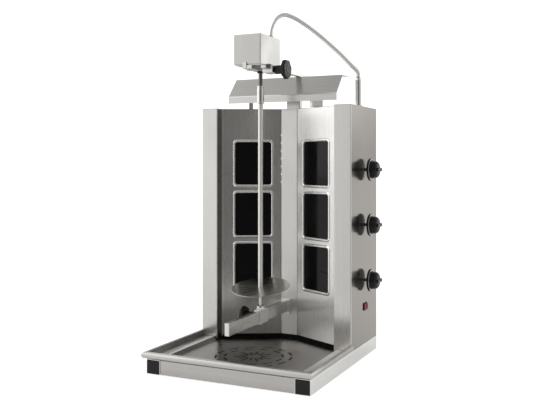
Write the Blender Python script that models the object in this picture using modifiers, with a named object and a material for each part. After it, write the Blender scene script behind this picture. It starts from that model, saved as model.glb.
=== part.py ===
"""Vertical rotisserie broiler with three electric heating zones.

Metres, +Z up. The machine faces -Y. The origin lies on the underside, at the centre of the base.
"""
import math

import bmesh
import bpy
from mathutils import Euler, Matrix, Vector

# Overall size
WIDTH = 0.530
DEPTH = 0.580
BODY_TOP = 0.811
HALF = WIDTH / 2
FRONT = -DEPTH / 2
REAR = DEPTH / 2
GAP = 0.0003
SHEET = 0.0012

# Base
RAIL_WIDTH = 0.047
RAIL_HEIGHT = 0.044
RAIL_WALL = 0.0015
RIM_NOSE = FRONT - 0.015
RIM_SIDE = HALF + 0.010
LEDGE_Z = 0.047
LEDGE_INNER = 0.2218
PAN_FLOOR = 0.037
PAN_BACK_RIM = 0.039
PAN_BACK_HALF = 0.2045
PAN_FOOT = 0.2078
PAN_HALF = 0.2176
PAN_FLANGE_EDGE = 0.2575
SLOT_RINGS = ((13, 0.1162, 17, 11), (11, 0.0895, 20, 29))
STAR_SLOTS = 14
DRAIN_Y = 0.104
DRAIN_START = -0.075
DRAIN_STEP = 0.0155
RING_CENTRE = (0.0, -0.1065)
DRAWER_REAR = 0.180

# Body: flanges at the front, a column in the middle, and a slanting heat panel between them on each side
BODY_FRONT = 0.035
FLANGE_INNER = 0.208
COLUMN_HALF = 0.030
COLUMN_FACE = 0.160
PANEL_ANGLE = math.radians(27.1)
PANEL_BOTTOM = 0.0508
PANEL_SHEET = 0.0015
WINDOW_INNER = 0.034
WINDOW_WIDTH = 0.121
WINDOW_HEIGHT = 0.142
WINDOW_TOPS = (0.698, 0.526, 0.354)
RIM_WIDTH = 0.010
RIM_HEIGHT = 0.003

# Controls on the right side panel
KNOB_Y = 0.1753
KNOB_ZS = (0.607, 0.428, 0.249)
SWITCH_Y = 0.170
SWITCH_Z = 0.164
SWITCH_TILT = math.radians(9)

# Spit
SPIT_X = -0.017
SPIT_Y = -0.024
SPIT_RADIUS = 0.0075
SPIT_TOP = 0.8455
PLATE_Z = 0.2362
PLATE_RADIUS = 0.0932
PLATE_TILT = math.radians(10.7)
SHAFT_RADIUS = 0.0065

# Arms and carriage
ARM_THICKNESS = 0.015
UPPER_ARM_WIDTH = 0.017
LOWER_ARM_Z = (0.125, 0.163)
LOWER_ARM_FRONT = -0.2445
UPPER_ARM_X = 0.035
UPPER_ARM_Z = (0.9174, 0.927)
UPPER_ARM_Y = (-0.110, 0.265)
SADDLE_SIDE = 0.0563
SADDLE_BOTTOM = 0.9045
DEFLECTOR_TOP = 0.917
DEFLECTOR_BEND = 0.853
DEFLECTOR_FRONT = 0.095
DEFLECTOR_CREST = 0.153
DEFLECTOR_SPAN = (-0.1975, 0.195)
LEG_XS = {-1: -0.125, 1: 0.1145}
LEG_Y = 0.122
UPPER_KNOB = (0.0566, -0.066, 0.915)
LOWER_KNOB = (-0.0281, -0.030, 0.144)
COVER_LOW = (-0.0650, -0.1140, 0.9303)
COVER_HIGH = (0.0280, 0.0270, 1.0237)

# Conduit from the motor cover to its post
CONDUIT_RADIUS = 0.007
CONDUIT_GLAND = (0.012, -0.010)
CONDUIT_POST = (0.245, 0.161)
CONDUIT_ROUTE = (
    (0.0120, -0.0100, 1.0313),
    (0.0145, -0.0082, 1.0540),
    (0.0225, -0.0022, 1.0770),
    (0.0345, 0.0066, 1.0930),
    (0.0500, 0.0180, 1.0990),
    (0.0680, 0.0312, 1.0935),
    (0.0890, 0.0466, 1.0805),
    (0.1150, 0.0657, 1.0600),
    (0.1420, 0.0855, 1.0355),
    (0.1690, 0.1053, 1.0085),
    (0.1960, 0.1251, 0.9800),
    (0.2210, 0.1434, 0.9505),
    (0.2400, 0.1573, 0.9285),
    (0.2449, 0.1609, 0.9170),
    (0.2450, 0.1610, 0.9103),
)

FINISHES = {
    "steel": ((0.62, 0.61, 0.60), 0.32, 1.0),
    "bright_steel": ((0.78, 0.77, 0.75), 0.18, 1.0),
    "dark_steel": ((0.22, 0.21, 0.20), 0.35, 1.0),
    "black_plastic": ((0.025, 0.025, 0.025), 0.35, 0.0),
    "black_glass": ((0.010, 0.010, 0.010), 0.06, 0.0),
    "black_enamel": ((0.012, 0.012, 0.012), 0.25, 0.0),
    "ceramic_board": ((0.80, 0.77, 0.70), 0.90, 0.0),
    "motor_grey": ((0.30, 0.31, 0.32), 0.45, 0.6),
    "red_plastic": ((0.45, 0.03, 0.04), 0.30, 0.0),
}


def clear_scene():
    for obj in list(bpy.data.objects):
        bpy.data.objects.remove(obj, do_unlink=True)


def new_collection(name):
    collection = bpy.data.collections.new(name)
    bpy.context.scene.collection.children.link(collection)
    return collection


def finish_material(name):
    material = bpy.data.materials.get(name)
    if material is None:
        colour, roughness, metallic = FINISHES[name]
        material = bpy.data.materials.new(name)
        material.use_nodes = True
        shader = material.node_tree.nodes["Principled BSDF"]
        shader.inputs["Base Color"].default_value = (*colour, 1.0)
        shader.inputs["Roughness"].default_value = roughness
        shader.inputs["Metallic"].default_value = metallic
    return material


def add_part(name, mesh, finish, origin=(0, 0, 0)):
    """A node of the object. The mesh is given about the origin."""
    mesh.name = name
    mesh.materials.clear()
    mesh.materials.append(finish_material(finish))
    obj = bpy.data.objects.new(name, mesh)
    obj.location = origin
    PARTS.objects.link(obj)
    return obj


def add_helper(name, mesh, origin=(0, 0, 0)):
    """A cutter, or a shape that a union adds to a part."""
    obj = bpy.data.objects.new(name, mesh)
    obj.location = origin
    obj.hide_render = True
    obj.display_type = "WIRE"
    HELPERS.objects.link(obj)
    return obj


def boolean(obj, helper, operation):
    modifier = obj.modifiers.new(f"{operation.lower()}_{helper.name}", "BOOLEAN")
    modifier.operation = operation
    modifier.object = helper


def cut(obj, mesh, origin=(0, 0, 0)):
    boolean(obj, add_helper(f"{obj.name}_cut_{len(obj.modifiers)}", mesh, origin), "DIFFERENCE")


def fuse(obj, mesh, origin=(0, 0, 0)):
    boolean(obj, add_helper(f"{obj.name}_add_{len(obj.modifiers)}", mesh, origin), "UNION")


def mesh_from(bm):
    bmesh.ops.recalc_face_normals(bm, faces=bm.faces)
    mesh = bpy.data.meshes.new("mesh")
    bm.to_mesh(mesh)
    bm.free()
    return mesh


def box(low, high, origin=(0, 0, 0)):
    bm = bmesh.new()
    bmesh.ops.create_cube(bm, size=1.0)
    size = Vector(high) - Vector(low)
    centre = (Vector(high) + Vector(low)) / 2 - Vector(origin)
    bm.transform(Matrix.Translation(centre) @ Matrix.Diagonal((*size, 1.0)))
    return mesh_from(bm)


def cylinder(radius, start, end, sides=24, origin=(0, 0, 0)):
    bm = bmesh.new()
    axis = Vector(end) - Vector(start)
    bmesh.ops.create_cone(bm, cap_ends=True, segments=sides, radius1=radius, radius2=radius,
                          depth=axis.length)
    turn = Vector((0, 0, 1)).rotation_difference(axis).to_matrix().to_4x4()
    centre = (Vector(start) + Vector(end)) / 2 - Vector(origin)
    bm.transform(Matrix.Translation(centre) @ turn)
    return mesh_from(bm)


def turned(name, profile, finish, origin, direction=(0, 0, 1), steps=32, ring=False):
    """A body of revolution from (radius, height) points, top down the outer side, closed if a ring."""
    bm = bmesh.new()
    corners = [bm.verts.new((radius, 0, height)) for radius, height in profile]
    for first, second in zip(corners, corners[1:]):
        bm.edges.new((first, second))
    if ring:
        bm.edges.new((corners[-1], corners[0]))
    mesh = bpy.data.meshes.new(name)
    bm.to_mesh(mesh)
    bm.free()
    obj = add_part(name, mesh, finish, origin)
    obj.rotation_euler = Vector((0, 0, 1)).rotation_difference(Vector(direction)).to_euler()
    screw = obj.modifiers.new("turn", "SCREW")
    screw.steps = steps
    screw.render_steps = steps
    screw.use_merge_vertices = True
    screw.merge_threshold = 0.0001
    screw.use_smooth_shade = True
    return obj


def rod(name, radius, bottom, top, finish, origin):
    profile = ((0, top), (radius - 0.0005, top), (radius, top - 0.0005), (radius, bottom + 0.0005),
               (radius - 0.0005, bottom), (0, bottom))
    return turned(name, profile, finish, origin, steps=24)


def rounded_rectangle(low, high, radius, segments=4):
    """Corner points of a rectangle with round corners, anticlockwise."""
    centres = ((high[0] - radius, high[1] - radius, 0), (low[0] + radius, high[1] - radius, 90),
               (low[0] + radius, low[1] + radius, 180), (high[0] - radius, low[1] + radius, 270))
    points = []
    for x, y, start in centres:
        for step in range(segments + 1):
            angle = math.radians(start + 90 * step / segments)
            points.append((x + radius * math.cos(angle), y + radius * math.sin(angle)))
    return points


def flat_shape(outlines, thickness, matrix=Matrix.Identity(4)):
    """A flat plate from closed outlines, the later ones holes. It fills local z from -thickness to 0."""
    curve = bpy.data.curves.new("outline", "CURVE")
    curve.dimensions = "2D"
    curve.fill_mode = "BOTH"
    curve.extrude = thickness / 2
    for outline in outlines:
        spline = curve.splines.new("POLY")
        spline.points.add(len(outline) - 1)
        spline.use_cyclic_u = True
        for point, (x, y) in zip(spline.points, outline):
            point.co = (x, y, 0, 1)
    mesh = curve_mesh(curve)
    mesh.transform(matrix @ Matrix.Translation((0, 0, -thickness / 2)))
    return mesh


def curve_mesh(curve):
    """The closed mesh of a curve, with its caps welded on."""
    holder = bpy.data.objects.new("holder", curve)
    bpy.context.scene.collection.objects.link(holder)
    graph = bpy.context.evaluated_depsgraph_get()
    mesh = bpy.data.meshes.new_from_object(holder.evaluated_get(graph))
    bpy.data.objects.remove(holder, do_unlink=True)
    bm = bmesh.new()
    bm.from_mesh(mesh)
    bmesh.ops.remove_doubles(bm, verts=bm.verts, dist=0.00001)
    bmesh.ops.recalc_face_normals(bm, faces=bm.faces)
    bm.to_mesh(mesh)
    bm.free()
    return mesh


def folded_mesh(profile, low, high, axis):
    """An open strip along a profile: (x, y) points for axis Z, (y, z) points for axis X."""
    place = {"Z": lambda p, h: (p[0], p[1], h), "X": lambda p, h: (h, p[0], p[1])}[axis]
    bm = bmesh.new()
    start = [bm.verts.new(place(point, low)) for point in profile]
    end = [bm.verts.new(place(point, high)) for point in profile]
    for i in range(len(profile) - 1):
        bm.faces.new((start[i], start[i + 1], end[i + 1], end[i]))
    mesh = bpy.data.meshes.new("sheet")
    bm.to_mesh(mesh)
    bm.free()
    return mesh


def thicken(obj, thickness):
    """Sheet thickness, on the side that the faces point away from."""
    solidify = obj.modifiers.new("sheet", "SOLIDIFY")
    solidify.thickness = thickness
    solidify.offset = -1
    solidify.use_even_offset = True


def folded_sheet(name, profile, low, high, axis, thickness, finish):
    """A folded sheet whose thickness lies on the left of the profile's direction."""
    obj = add_part(name, folded_mesh(profile, low, high, axis), finish)
    thicken(obj, thickness)
    return obj


# Positions on the slanted heat panels


def panel_matrix(side):
    """Local x runs along the panel from its edge at the column, y up, z out of its front. side is 1 or -1."""
    cos, sin = math.cos(PANEL_ANGLE), math.sin(PANEL_ANGLE)
    along = Vector((cos, -side * sin, 0))
    up = Vector((0, 0, 1))
    front = along.cross(up)
    matrix = Matrix((along, up, front)).transposed().to_4x4()
    return Matrix.Translation((side * COLUMN_HALF, COLUMN_FACE, 0)) @ matrix


def panel_line(x, forward):
    """The y of a plane parallel to a heat panel and forward of its face, at a distance x from the middle."""
    return COLUMN_FACE - (x - COLUMN_HALF) * math.tan(PANEL_ANGLE) - forward / math.cos(PANEL_ANGLE)


def v_line(x, forward):
    """Plan points of the V, from left to right, at a distance forward of the panels' faces."""
    inner = COLUMN_HALF - forward * math.tan(PANEL_ANGLE / 2)
    middle = COLUMN_FACE - forward
    return [(-x, panel_line(x, forward)), (-inner, middle), (inner, middle), (x, panel_line(x, forward))]


# Base


def side_rail(side, name):
    low, high = HALF - RAIL_WIDTH, HALF
    wall = RAIL_WALL
    outer = rounded_rectangle((low, 0), (high, RAIL_HEIGHT), 0.002, 2)
    inner = rounded_rectangle((low + wall, wall), (high - wall, RAIL_HEIGHT - wall), 0.001, 2)
    length = DEPTH - SHEET - GAP
    upright = Matrix.Translation((0, FRONT, 0)) @ Matrix.Rotation(math.radians(90), 4, "X")
    rail = add_part(name, flat_shape((outer, inner), length, upright), "steel")
    if side < 0:
        mirror(rail.data)


def mirror(mesh):
    """Turns a right-hand mesh into its left-hand twin."""
    mesh.transform(Matrix.Diagonal((-1, 1, 1, 1)))
    mesh.flip_normals()


def rail_cap(side, name):
    inset = RAIL_WALL + GAP
    low = (HALF - RAIL_WIDTH + inset, FRONT, inset)
    high = (HALF - inset, FRONT + 0.020, RAIL_HEIGHT - inset)
    cap = add_part(name, box(low, high), "black_plastic")
    if side < 0:
        mirror(cap.data)


def base_floor():
    edge = HALF - RAIL_WIDTH - GAP
    add_part("base_floor", box((-edge, FRONT + 0.0055, 0), (edge, REAR - SHEET - GAP, 0.0015)), "steel")


def tray_frame():
    """The rolled rim and the ledge inside it, from one body flange round the front to the other.

    Each fold is (height, distance inside the side's face, distance behind the front's nose).
    """
    folds = (
        (0.0445, 0.0120, 0.0160),
        (0.0470, 0.0075, 0.0075),
        (0.0495, 0.0035, 0.0035),
        (0.0530, 0.0008, 0.0008),
        (0.0570, 0.0, 0.0),
        (0.0610, 0.0008, 0.0008),
        (0.0645, 0.0032, 0.0032),
        (0.0667, 0.0070, 0.0070),
        (0.0673, 0.0105, 0.0105),
        (0.0668, 0.0130, 0.0130),
        (0.0650, 0.0142, 0.0142),
        (LEDGE_Z, 0.0145, 0.0145),
        (LEDGE_Z - 0.0002, RIM_SIDE - LEDGE_INNER, 0.0200),
    )
    bm = bmesh.new()
    rows = []
    back = BODY_FRONT - GAP
    for height, side_inset, nose_inset in folds:
        x = RIM_SIDE - side_inset
        y = RIM_NOSE + nose_inset
        corners = ((-x, back, height), (-x, y, height), (x, y, height), (x, back, height))
        rows.append([bm.verts.new(corner) for corner in corners])
    for lower, upper in zip(rows, rows[1:]):
        for i in range(3):
            bm.faces.new((lower[i], lower[i + 1], upper[i + 1], upper[i]))
    mesh = bpy.data.meshes.new("tray_frame")
    bm.to_mesh(mesh)
    bm.free()
    thicken(add_part("tray_frame", mesh, "steel"), 0.0011)


def drip_pan():
    """A shallow pan with flanges that hang on the ledges, and a low back edge that follows the V."""
    sheet = 0.0010
    rim = LEDGE_Z + GAP + sheet
    flange_back = BODY_FRONT - 0.002
    floor_front = RIM_NOSE + 0.043
    rim_front = RIM_NOSE + 0.0225
    plan = [(-PAN_FOOT, flange_back), (-PAN_FOOT, floor_front), (PAN_FOOT, floor_front),
            (PAN_FOOT, flange_back), (PAN_BACK_HALF, flange_back),
            *reversed(v_line(PAN_BACK_HALF, 0.0030)), (-PAN_BACK_HALF, flange_back)]
    bm = bmesh.new()
    floor = [bm.verts.new((x, y, PAN_FLOOR)) for x, y in plan]
    top = []
    for i, (x, y) in enumerate(plan):
        edge_x = math.copysign(PAN_HALF, x) if i < 4 else x
        edge_y = rim_front if i in (1, 2) else y
        edge_z = rim if i < 4 else PAN_BACK_RIM
        top.append(bm.verts.new((edge_x, edge_y, edge_z)))
    bm.faces.new(floor)
    for i, start in enumerate(floor):
        after = (i + 1) % len(plan)
        bm.faces.new((start, top[i], top[after], floor[after]))
    mesh = bpy.data.meshes.new("drip_pan")
    bm.to_mesh(mesh)
    bm.free()
    pan = add_part("drip_pan", mesh, "steel")
    thicken(pan, sheet)
    for edge in (-1, 1):
        x0, x1 = sorted((edge * (PAN_HALF - 0.0002), edge * PAN_FLANGE_EDGE))
        fuse(pan, box((x0, rim_front + 0.003, rim - sheet), (x1, flange_back - 0.0005, rim - 0.00005)))
    cut(pan, pan_slots())


def pan_slots():
    """Two rings of curved slots, a star of straight ones inside, and a row of drain holes at the back."""
    bm = bmesh.new()
    for count, radius, span, start in SLOT_RINGS:
        for i in range(count):
            middle = start + 360 * i / count
            add_slot(bm, arc_slot(radius, 0.0030, middle - span / 2, middle + span / 2))
    for i in range(STAR_SLOTS):
        angle = math.radians(360 * i / STAR_SLOTS)
        inner, outer = (0.020, 0.046) if i % 2 else (0.024, 0.060)
        add_slot(bm, straight_slot(angle, inner, outer, 0.0026))
    octagon = [math.radians(45 * k) for k in range(8)]
    for i in range(9):
        x = DRAIN_START + DRAIN_STEP * i
        add_slot(bm, [(x + 0.003 * math.cos(a), DRAIN_Y + 0.003 * math.sin(a)) for a in octagon])
    return mesh_from(bm)


def arc_slot(radius, half_width, first, last, steps=4):
    angles = [math.radians(first + (last - first) * i / steps) for i in range(steps + 1)]
    outer = [ring_point(radius + half_width, angle) for angle in angles]
    inner = [ring_point(radius - half_width, angle) for angle in reversed(angles)]
    return outer + inner


def straight_slot(angle, inner, outer, half_width):
    skew = half_width / inner
    return [ring_point(inner, angle - skew), ring_point(outer, angle - half_width / outer),
            ring_point(outer, angle + half_width / outer), ring_point(inner, angle + skew)]


def ring_point(radius, angle):
    return RING_CENTRE[0] + radius * math.cos(angle), RING_CENTRE[1] + radius * math.sin(angle)


def add_slot(bm, outline):
    base = [bm.verts.new((x, y, PAN_FLOOR - 0.004)) for x, y in outline]
    face = bm.faces.new(base)
    lifted = bmesh.ops.extrude_face_region(bm, geom=[face])["geom"]
    bmesh.ops.translate(bm, vec=(0, 0, 0.008), verts=[v for v in lifted if isinstance(v, bmesh.types.BMVert)])


def grease_drawer():
    """An open tray between the rails, with the apron that closes the front of the base."""
    edge, apron = HALF - RAIL_WIDTH - 0.0035, HALF - RAIL_WIDTH - 0.0008
    low, high = (-edge, FRONT + 0.0026, 0.0022), (edge, DRAWER_REAR, 0.0330)
    bm = bmesh.new()
    bmesh.ops.create_cube(bm, size=1.0)
    size, centre = Vector(high) - Vector(low), (Vector(high) + Vector(low)) / 2
    bm.transform(Matrix.Translation(centre) @ Matrix.Diagonal((*size, 1.0)))
    lid = [face for face in bm.faces if face.normal.z > 0.9]
    bmesh.ops.delete(bm, geom=lid, context="FACES")
    drawer = add_part("grease_drawer", mesh_from(bm), "steel")
    thicken(drawer, 0.0010)
    fuse(drawer, box((-apron, FRONT + 0.0015, 0.0020), (apron, FRONT + 0.0030, 0.0430)))


# Body


def side_panel_profile():
    """Plan of the right side panel, from the lip over the heat panel round the front flange to the back."""
    lip = panel_line(FLANGE_INNER, 0.0015)
    cos, sin = math.cos(PANEL_ANGLE), math.sin(PANEL_ANGLE)
    lip_end = (FLANGE_INNER - 0.007 * cos, lip + 0.007 * sin)
    return [lip_end, (FLANGE_INNER, lip), (FLANGE_INNER, BODY_FRONT), (HALF, BODY_FRONT),
            (HALF, REAR - SHEET - GAP)]


def side_panel(side, name):
    profile = side_panel_profile()
    if side < 0:
        profile = [(-x, y) for x, y in reversed(profile)]
    return folded_sheet(name, profile, RAIL_HEIGHT + GAP, BODY_TOP - 0.0015, "Z", SHEET, "steel")


def right_side_panel():
    panel = side_panel(1, "side_panel_right")
    for z in KNOB_ZS:
        cut(panel, cylinder(0.0053, (HALF - 0.01, KNOB_Y, z), (HALF + 0.01, KNOB_Y, z)))
    cut(panel, box((HALF - 0.01, SWITCH_Y - 0.0140, SWITCH_Z - 0.0100),
                   (HALF + 0.01, SWITCH_Y + 0.0140, SWITCH_Z + 0.0100)))


def rear_cover():
    """The flat back, with two columns of vent slots and a hole for the mains gland."""
    sheet = box((-HALF, REAR - SHEET, 0.001), (HALF, REAR, BODY_TOP - 0.0015))
    cover = add_part("rear_cover", sheet, "steel")
    bm = bmesh.new()
    for x in (-0.125, 0.125):
        for row in range(7):
            z = 0.560 + 0.028 * row
            part = bmesh.ops.create_cube(bm, size=1.0)["verts"]
            size = Matrix.Diagonal((0.110, 0.010, 0.007, 1.0))
            bmesh.ops.transform(bm, matrix=Matrix.Translation((x, REAR, z)) @ size, verts=part)
    cut(cover, mesh_from(bm))
    cut(cover, cylinder(0.0083, (-0.200, REAR - 0.01, 0.100), (-0.200, REAR + 0.01, 0.100)))


def top_cover():
    plan = [(-HALF, BODY_FRONT), (-FLANGE_INNER, BODY_FRONT), *v_line(FLANGE_INNER, 0.0),
            (FLANGE_INNER, BODY_FRONT), (HALF, BODY_FRONT), (HALF, REAR), (-HALF, REAR)]
    x, y = CONDUIT_POST
    twelve = [math.radians(30 * k) for k in range(12)]
    hole = [(x + 0.0065 * math.cos(a), y + 0.0065 * math.sin(a)) for a in twelve]
    add_part("top_cover", flat_shape((plan, hole), SHEET, Matrix.Translation((0, 0, BODY_TOP))), "steel")


def body_floor():
    edge = HALF - SHEET - 0.0013
    plan = [*v_line(edge, -0.006), (edge, REAR - SHEET - GAP), (-edge, REAR - SHEET - GAP)]
    level = RAIL_HEIGHT + GAP + SHEET
    add_part("body_floor", flat_shape((plan,), SHEET, Matrix.Translation((0, 0, level))), "steel")


def plinth():
    folded_sheet("plinth", v_line(0.2065, -0.0015), 0.0385, PANEL_BOTTOM - GAP, "Z", 0.0020, "black_enamel")


def centre_column():
    half, face, back = COLUMN_HALF - GAP, COLUMN_FACE, COLUMN_FACE + 0.015
    profile = [(-half, back), (-half, face), (half, face), (half, back)]
    folded_sheet("centre_column", profile, PANEL_BOTTOM, BODY_TOP - 0.0015, "Z", SHEET, "bright_steel")


def window_span(side):
    inner, outer = WINDOW_INNER, WINDOW_INNER + WINDOW_WIDTH
    return (inner, outer) if side > 0 else (-outer, -inner)


def heat_panel(side, name):
    """A flat sheet with three windows, each with a pressed rim standing out of the front."""
    length = (FLANGE_INNER - GAP - COLUMN_HALF) / math.cos(PANEL_ANGLE)
    ends = sorted((side * 0.0005, side * length))
    x0, x1 = window_span(side)
    top_edge = BODY_TOP - 0.0015
    edge = [(ends[0], PANEL_BOTTOM), (ends[1], PANEL_BOTTOM), (ends[1], top_edge), (ends[0], top_edge)]
    panel = add_part(name, flat_shape((edge,), PANEL_SHEET, panel_matrix(side)), "steel")
    lifted = panel_matrix(side) @ Matrix.Translation((0, 0, RIM_HEIGHT))
    for top in WINDOW_TOPS:
        low, high = (x0, top - WINDOW_HEIGHT), (x1, top)
        rim = rounded_rectangle((low[0] - RIM_WIDTH, low[1] - RIM_WIDTH),
                                (high[0] + RIM_WIDTH, high[1] + RIM_WIDTH), 0.014)
        fuse(panel, flat_shape((rim,), RIM_HEIGHT + 0.0008, lifted))
        cut(panel, flat_shape((rounded_rectangle(low, high, 0.007),), 0.012, lifted))


def panel_box(side, name, span, height, depth, finish):
    """A box behind a heat panel: span along it, height range, depth range forward of its face."""
    x0, x1 = sorted((side * span[0], side * span[1]))
    mesh = box((x0, height[0], depth[0]), (x1, height[1], depth[1]))
    mesh.transform(panel_matrix(side))
    return add_part(name, mesh, finish)


def window_glass(side, name, top):
    span = (WINDOW_INNER - 0.008, WINDOW_INNER + WINDOW_WIDTH + 0.008)
    panel_box(side, name, span, (top - WINDOW_HEIGHT - 0.008, top + 0.008), (-0.0058, -0.0018), "black_glass")


def heating_element(side, name, top):
    """A dish of ceramic board behind the glass, open towards it."""
    span = (WINDOW_INNER - 0.004, WINDOW_INNER + WINDOW_WIDTH + 0.004)
    height = (top - WINDOW_HEIGHT - 0.006, top + 0.006)
    element = panel_box(side, name, span, height, (-0.036, -0.0062), "ceramic_board")
    x0, x1 = sorted((side * (span[0] + 0.012), side * (span[1] - 0.012)))
    hollow = box((x0, height[0] + 0.012, -0.022), (x1, height[1] - 0.012, 0.0))
    hollow.transform(panel_matrix(side))
    cut(element, hollow)


def terminal_block():
    base = RAIL_HEIGHT + 2 * GAP + SHEET
    body = box((-0.215, 0.235, base), (-0.145, 0.262, base + 0.022))
    block = add_part("terminal_block", body, "black_plastic")
    for i in range(5):
        x = -0.206 + 0.013 * i
        cut(block, cylinder(0.0035, (x, 0.2485, base + 0.012), (x, 0.2485, base + 0.030), 12))


def mains_gland():
    profile = ((0.0078, 0.022), (0.0105, 0.016), (0.0115, 0.007), (0.0125, 0.006), (0.0125, GAP),
               (0.0080, GAP), (0.0080, -0.012), (0.0045, -0.012), (0.0045, 0.022))
    turned("mains_gland", profile, "black_plastic", (-0.200, REAR, 0.100), (0, 1, 0), 20, ring=True)


# Controls


def energy_regulator(number, z):
    """The regulator behind a knob, with the threaded bush that holds it in the side panel."""
    inner = HALF - SHEET - GAP
    low, high = (inner - 0.034, KNOB_Y - 0.0225, z - 0.0225), (inner, KNOB_Y + 0.0225, z + 0.0225)
    regulator = add_part(f"energy_regulator_{number}", box(low, high), "black_plastic")
    fuse(regulator, cylinder(0.0050, (inner - 0.005, KNOB_Y, z), (HALF + 0.003, KNOB_Y, z)))


def control_knob(number, z):
    """A knob with a dial skirt, a round body and a grip bar, standing off the panel on its stem."""
    profile = ((0, 0.0455), (0.0150, 0.0452), (0.0215, 0.0435), (0.0255, 0.0395), (0.0275, 0.0330),
               (0.0278, 0.0215), (0.0350, 0.0215), (0.0360, 0.0205), (0.0360, 0.0148), (0.0350, 0.0138),
               (0.0045, 0.0138), (0.0045, 0.0034), (0, 0.0034))
    knob = turned(f"control_knob_{number}", profile, "black_plastic", (HALF, KNOB_Y, z), (1, 0, 0), 28)
    fuse(knob, box((HALF + 0.038, KNOB_Y - 0.0215, z - 0.0052), (HALF + 0.0505, KNOB_Y + 0.0215, z + 0.0052)))


def switch_housing():
    bezel = box((HALF + GAP, SWITCH_Y - 0.0160, SWITCH_Z - 0.0120),
                (HALF + 0.0025, SWITCH_Y + 0.0160, SWITCH_Z + 0.0120))
    housing = add_part("switch_housing", bezel, "black_plastic")
    fuse(housing, box((HALF - 0.020, SWITCH_Y - 0.0137, SWITCH_Z - 0.0097),
                      (HALF + 0.0010, SWITCH_Y + 0.0137, SWITCH_Z + 0.0097)))
    cut(housing, box((HALF - 0.010, SWITCH_Y - 0.0125, SWITCH_Z - 0.0085),
                     (HALF + 0.0100, SWITCH_Y + 0.0125, SWITCH_Z + 0.0085)))


def switch_rocker():
    """The rocker turns about a vertical pin, and rests with its front half pressed in."""
    outline = ((-0.0035, -0.0060), (0.0030, -0.0113), (0.0092, -0.0110), (0.0062, 0.0), (0.0092, 0.0110),
               (0.0030, 0.0113), (-0.0035, 0.0060))
    place = Matrix.Rotation(-SWITCH_TILT, 4, "Z") @ Matrix.Translation((0, 0, 0.0081))
    rocker = flat_shape((outline,), 0.0162, place)
    add_part("switch_rocker", rocker, "red_plastic", (HALF - 0.004, SWITCH_Y, SWITCH_Z))


# Top


def deflector():
    """A heat deflector: lip, slope and rear flange. The upper arm rests on its rear flange."""
    profile = [(0.220, DEFLECTOR_TOP), (DEFLECTOR_CREST, DEFLECTOR_TOP), (DEFLECTOR_FRONT, DEFLECTOR_BEND),
               (DEFLECTOR_FRONT, 0.830)]
    folded_sheet("deflector", profile, *DEFLECTOR_SPAN, "X", SHEET, "steel")


def deflector_leg(side, name):
    """A bracket that stands on the top cover, square to the heat panel below it."""
    mesh = box((-0.007, -0.0225, BODY_TOP + GAP), (0.007, 0.0225, 0.854))
    mesh.transform(Matrix.Rotation(-side * PANEL_ANGLE, 4, "Z"))
    add_part(name, mesh, "steel", (LEG_XS[side], LEG_Y, 0))


def arm_post():
    """A channel that carries the deflector's rear flange, and the upper arm on top of it."""
    profile = [(-0.0130, 0.186), (-0.0130, 0.166), (0.0367, 0.166), (0.0367, 0.186)]
    top = DEFLECTOR_TOP - SHEET - GAP
    folded_sheet("arm_post", profile, BODY_TOP + GAP, top, "Z", 0.003, "steel")


def upper_arm():
    half = UPPER_ARM_WIDTH / 2
    low = (UPPER_ARM_X - half, UPPER_ARM_Y[0], UPPER_ARM_Z[0])
    high = (UPPER_ARM_X + half, UPPER_ARM_Y[1], UPPER_ARM_Z[1])
    add_part("upper_arm", box(low, high), "bright_steel")


def motor_carriage():
    """A plate under the motor, a saddle that grips the upper arm and a hanger round the drive shaft."""
    half, wall = UPPER_ARM_WIDTH / 2 + GAP, 0.0040
    low_z, high_z = UPPER_ARM_Z
    left = UPPER_ARM_X - half - wall
    origin = (SPIT_X, SPIT_Y, high_z)
    plate = box((-0.060, -0.112, high_z + 0.0006), (SADDLE_SIDE, 0.025, high_z + 0.0030), origin)
    carriage = add_part("motor_carriage", plate, "bright_steel", origin)
    fuse(carriage, box((left, -0.090, SADDLE_BOTTOM), (SADDLE_SIDE, -0.042, high_z + 0.0020)))
    fuse(carriage, box((-0.033, -0.116, high_z - 0.0105), (-0.001, -0.005, high_z + 0.0010)))
    fuse(carriage, box((-0.0325, -0.1175, high_z - 0.0105), (-0.0190, -0.1145, high_z + 0.0106)))
    cut(carriage, box((UPPER_ARM_X - half, -0.100, low_z - GAP), (UPPER_ARM_X + half, -0.030, high_z + GAP)))
    cut(carriage, cylinder(0.0093, (SPIT_X, SPIT_Y, high_z - 0.02), (SPIT_X, SPIT_Y, high_z + 0.02)))
    _, knob_y, knob_z = UPPER_KNOB
    cut(carriage, cylinder(0.0043, (0.050, knob_y, knob_z), (0.070, knob_y, knob_z), 16))


def motor_cover():
    """A box of sheet, open underneath, with a hole for the conduit's gland."""
    bm = bmesh.new()
    bmesh.ops.create_cube(bm, size=1.0)
    size = Vector(COVER_HIGH) - Vector(COVER_LOW)
    centre = (Vector(COVER_HIGH) + Vector(COVER_LOW)) / 2
    bm.transform(Matrix.Translation(centre) @ Matrix.Diagonal((*size, 1.0)))
    bottom = [face for face in bm.faces if face.normal.z < -0.9]
    bmesh.ops.delete(bm, geom=bottom, context="FACES")
    mesh = bpy.data.meshes.new("motor_cover")
    bm.to_mesh(mesh)
    bm.free()
    cover = add_part("motor_cover", mesh, "bright_steel")
    thicken(cover, SHEET)
    x, y = CONDUIT_GLAND
    cut(cover, cylinder(0.0065, (x, y, COVER_HIGH[2] - 0.01), (x, y, COVER_HIGH[2] + 0.01), 16))


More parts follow.
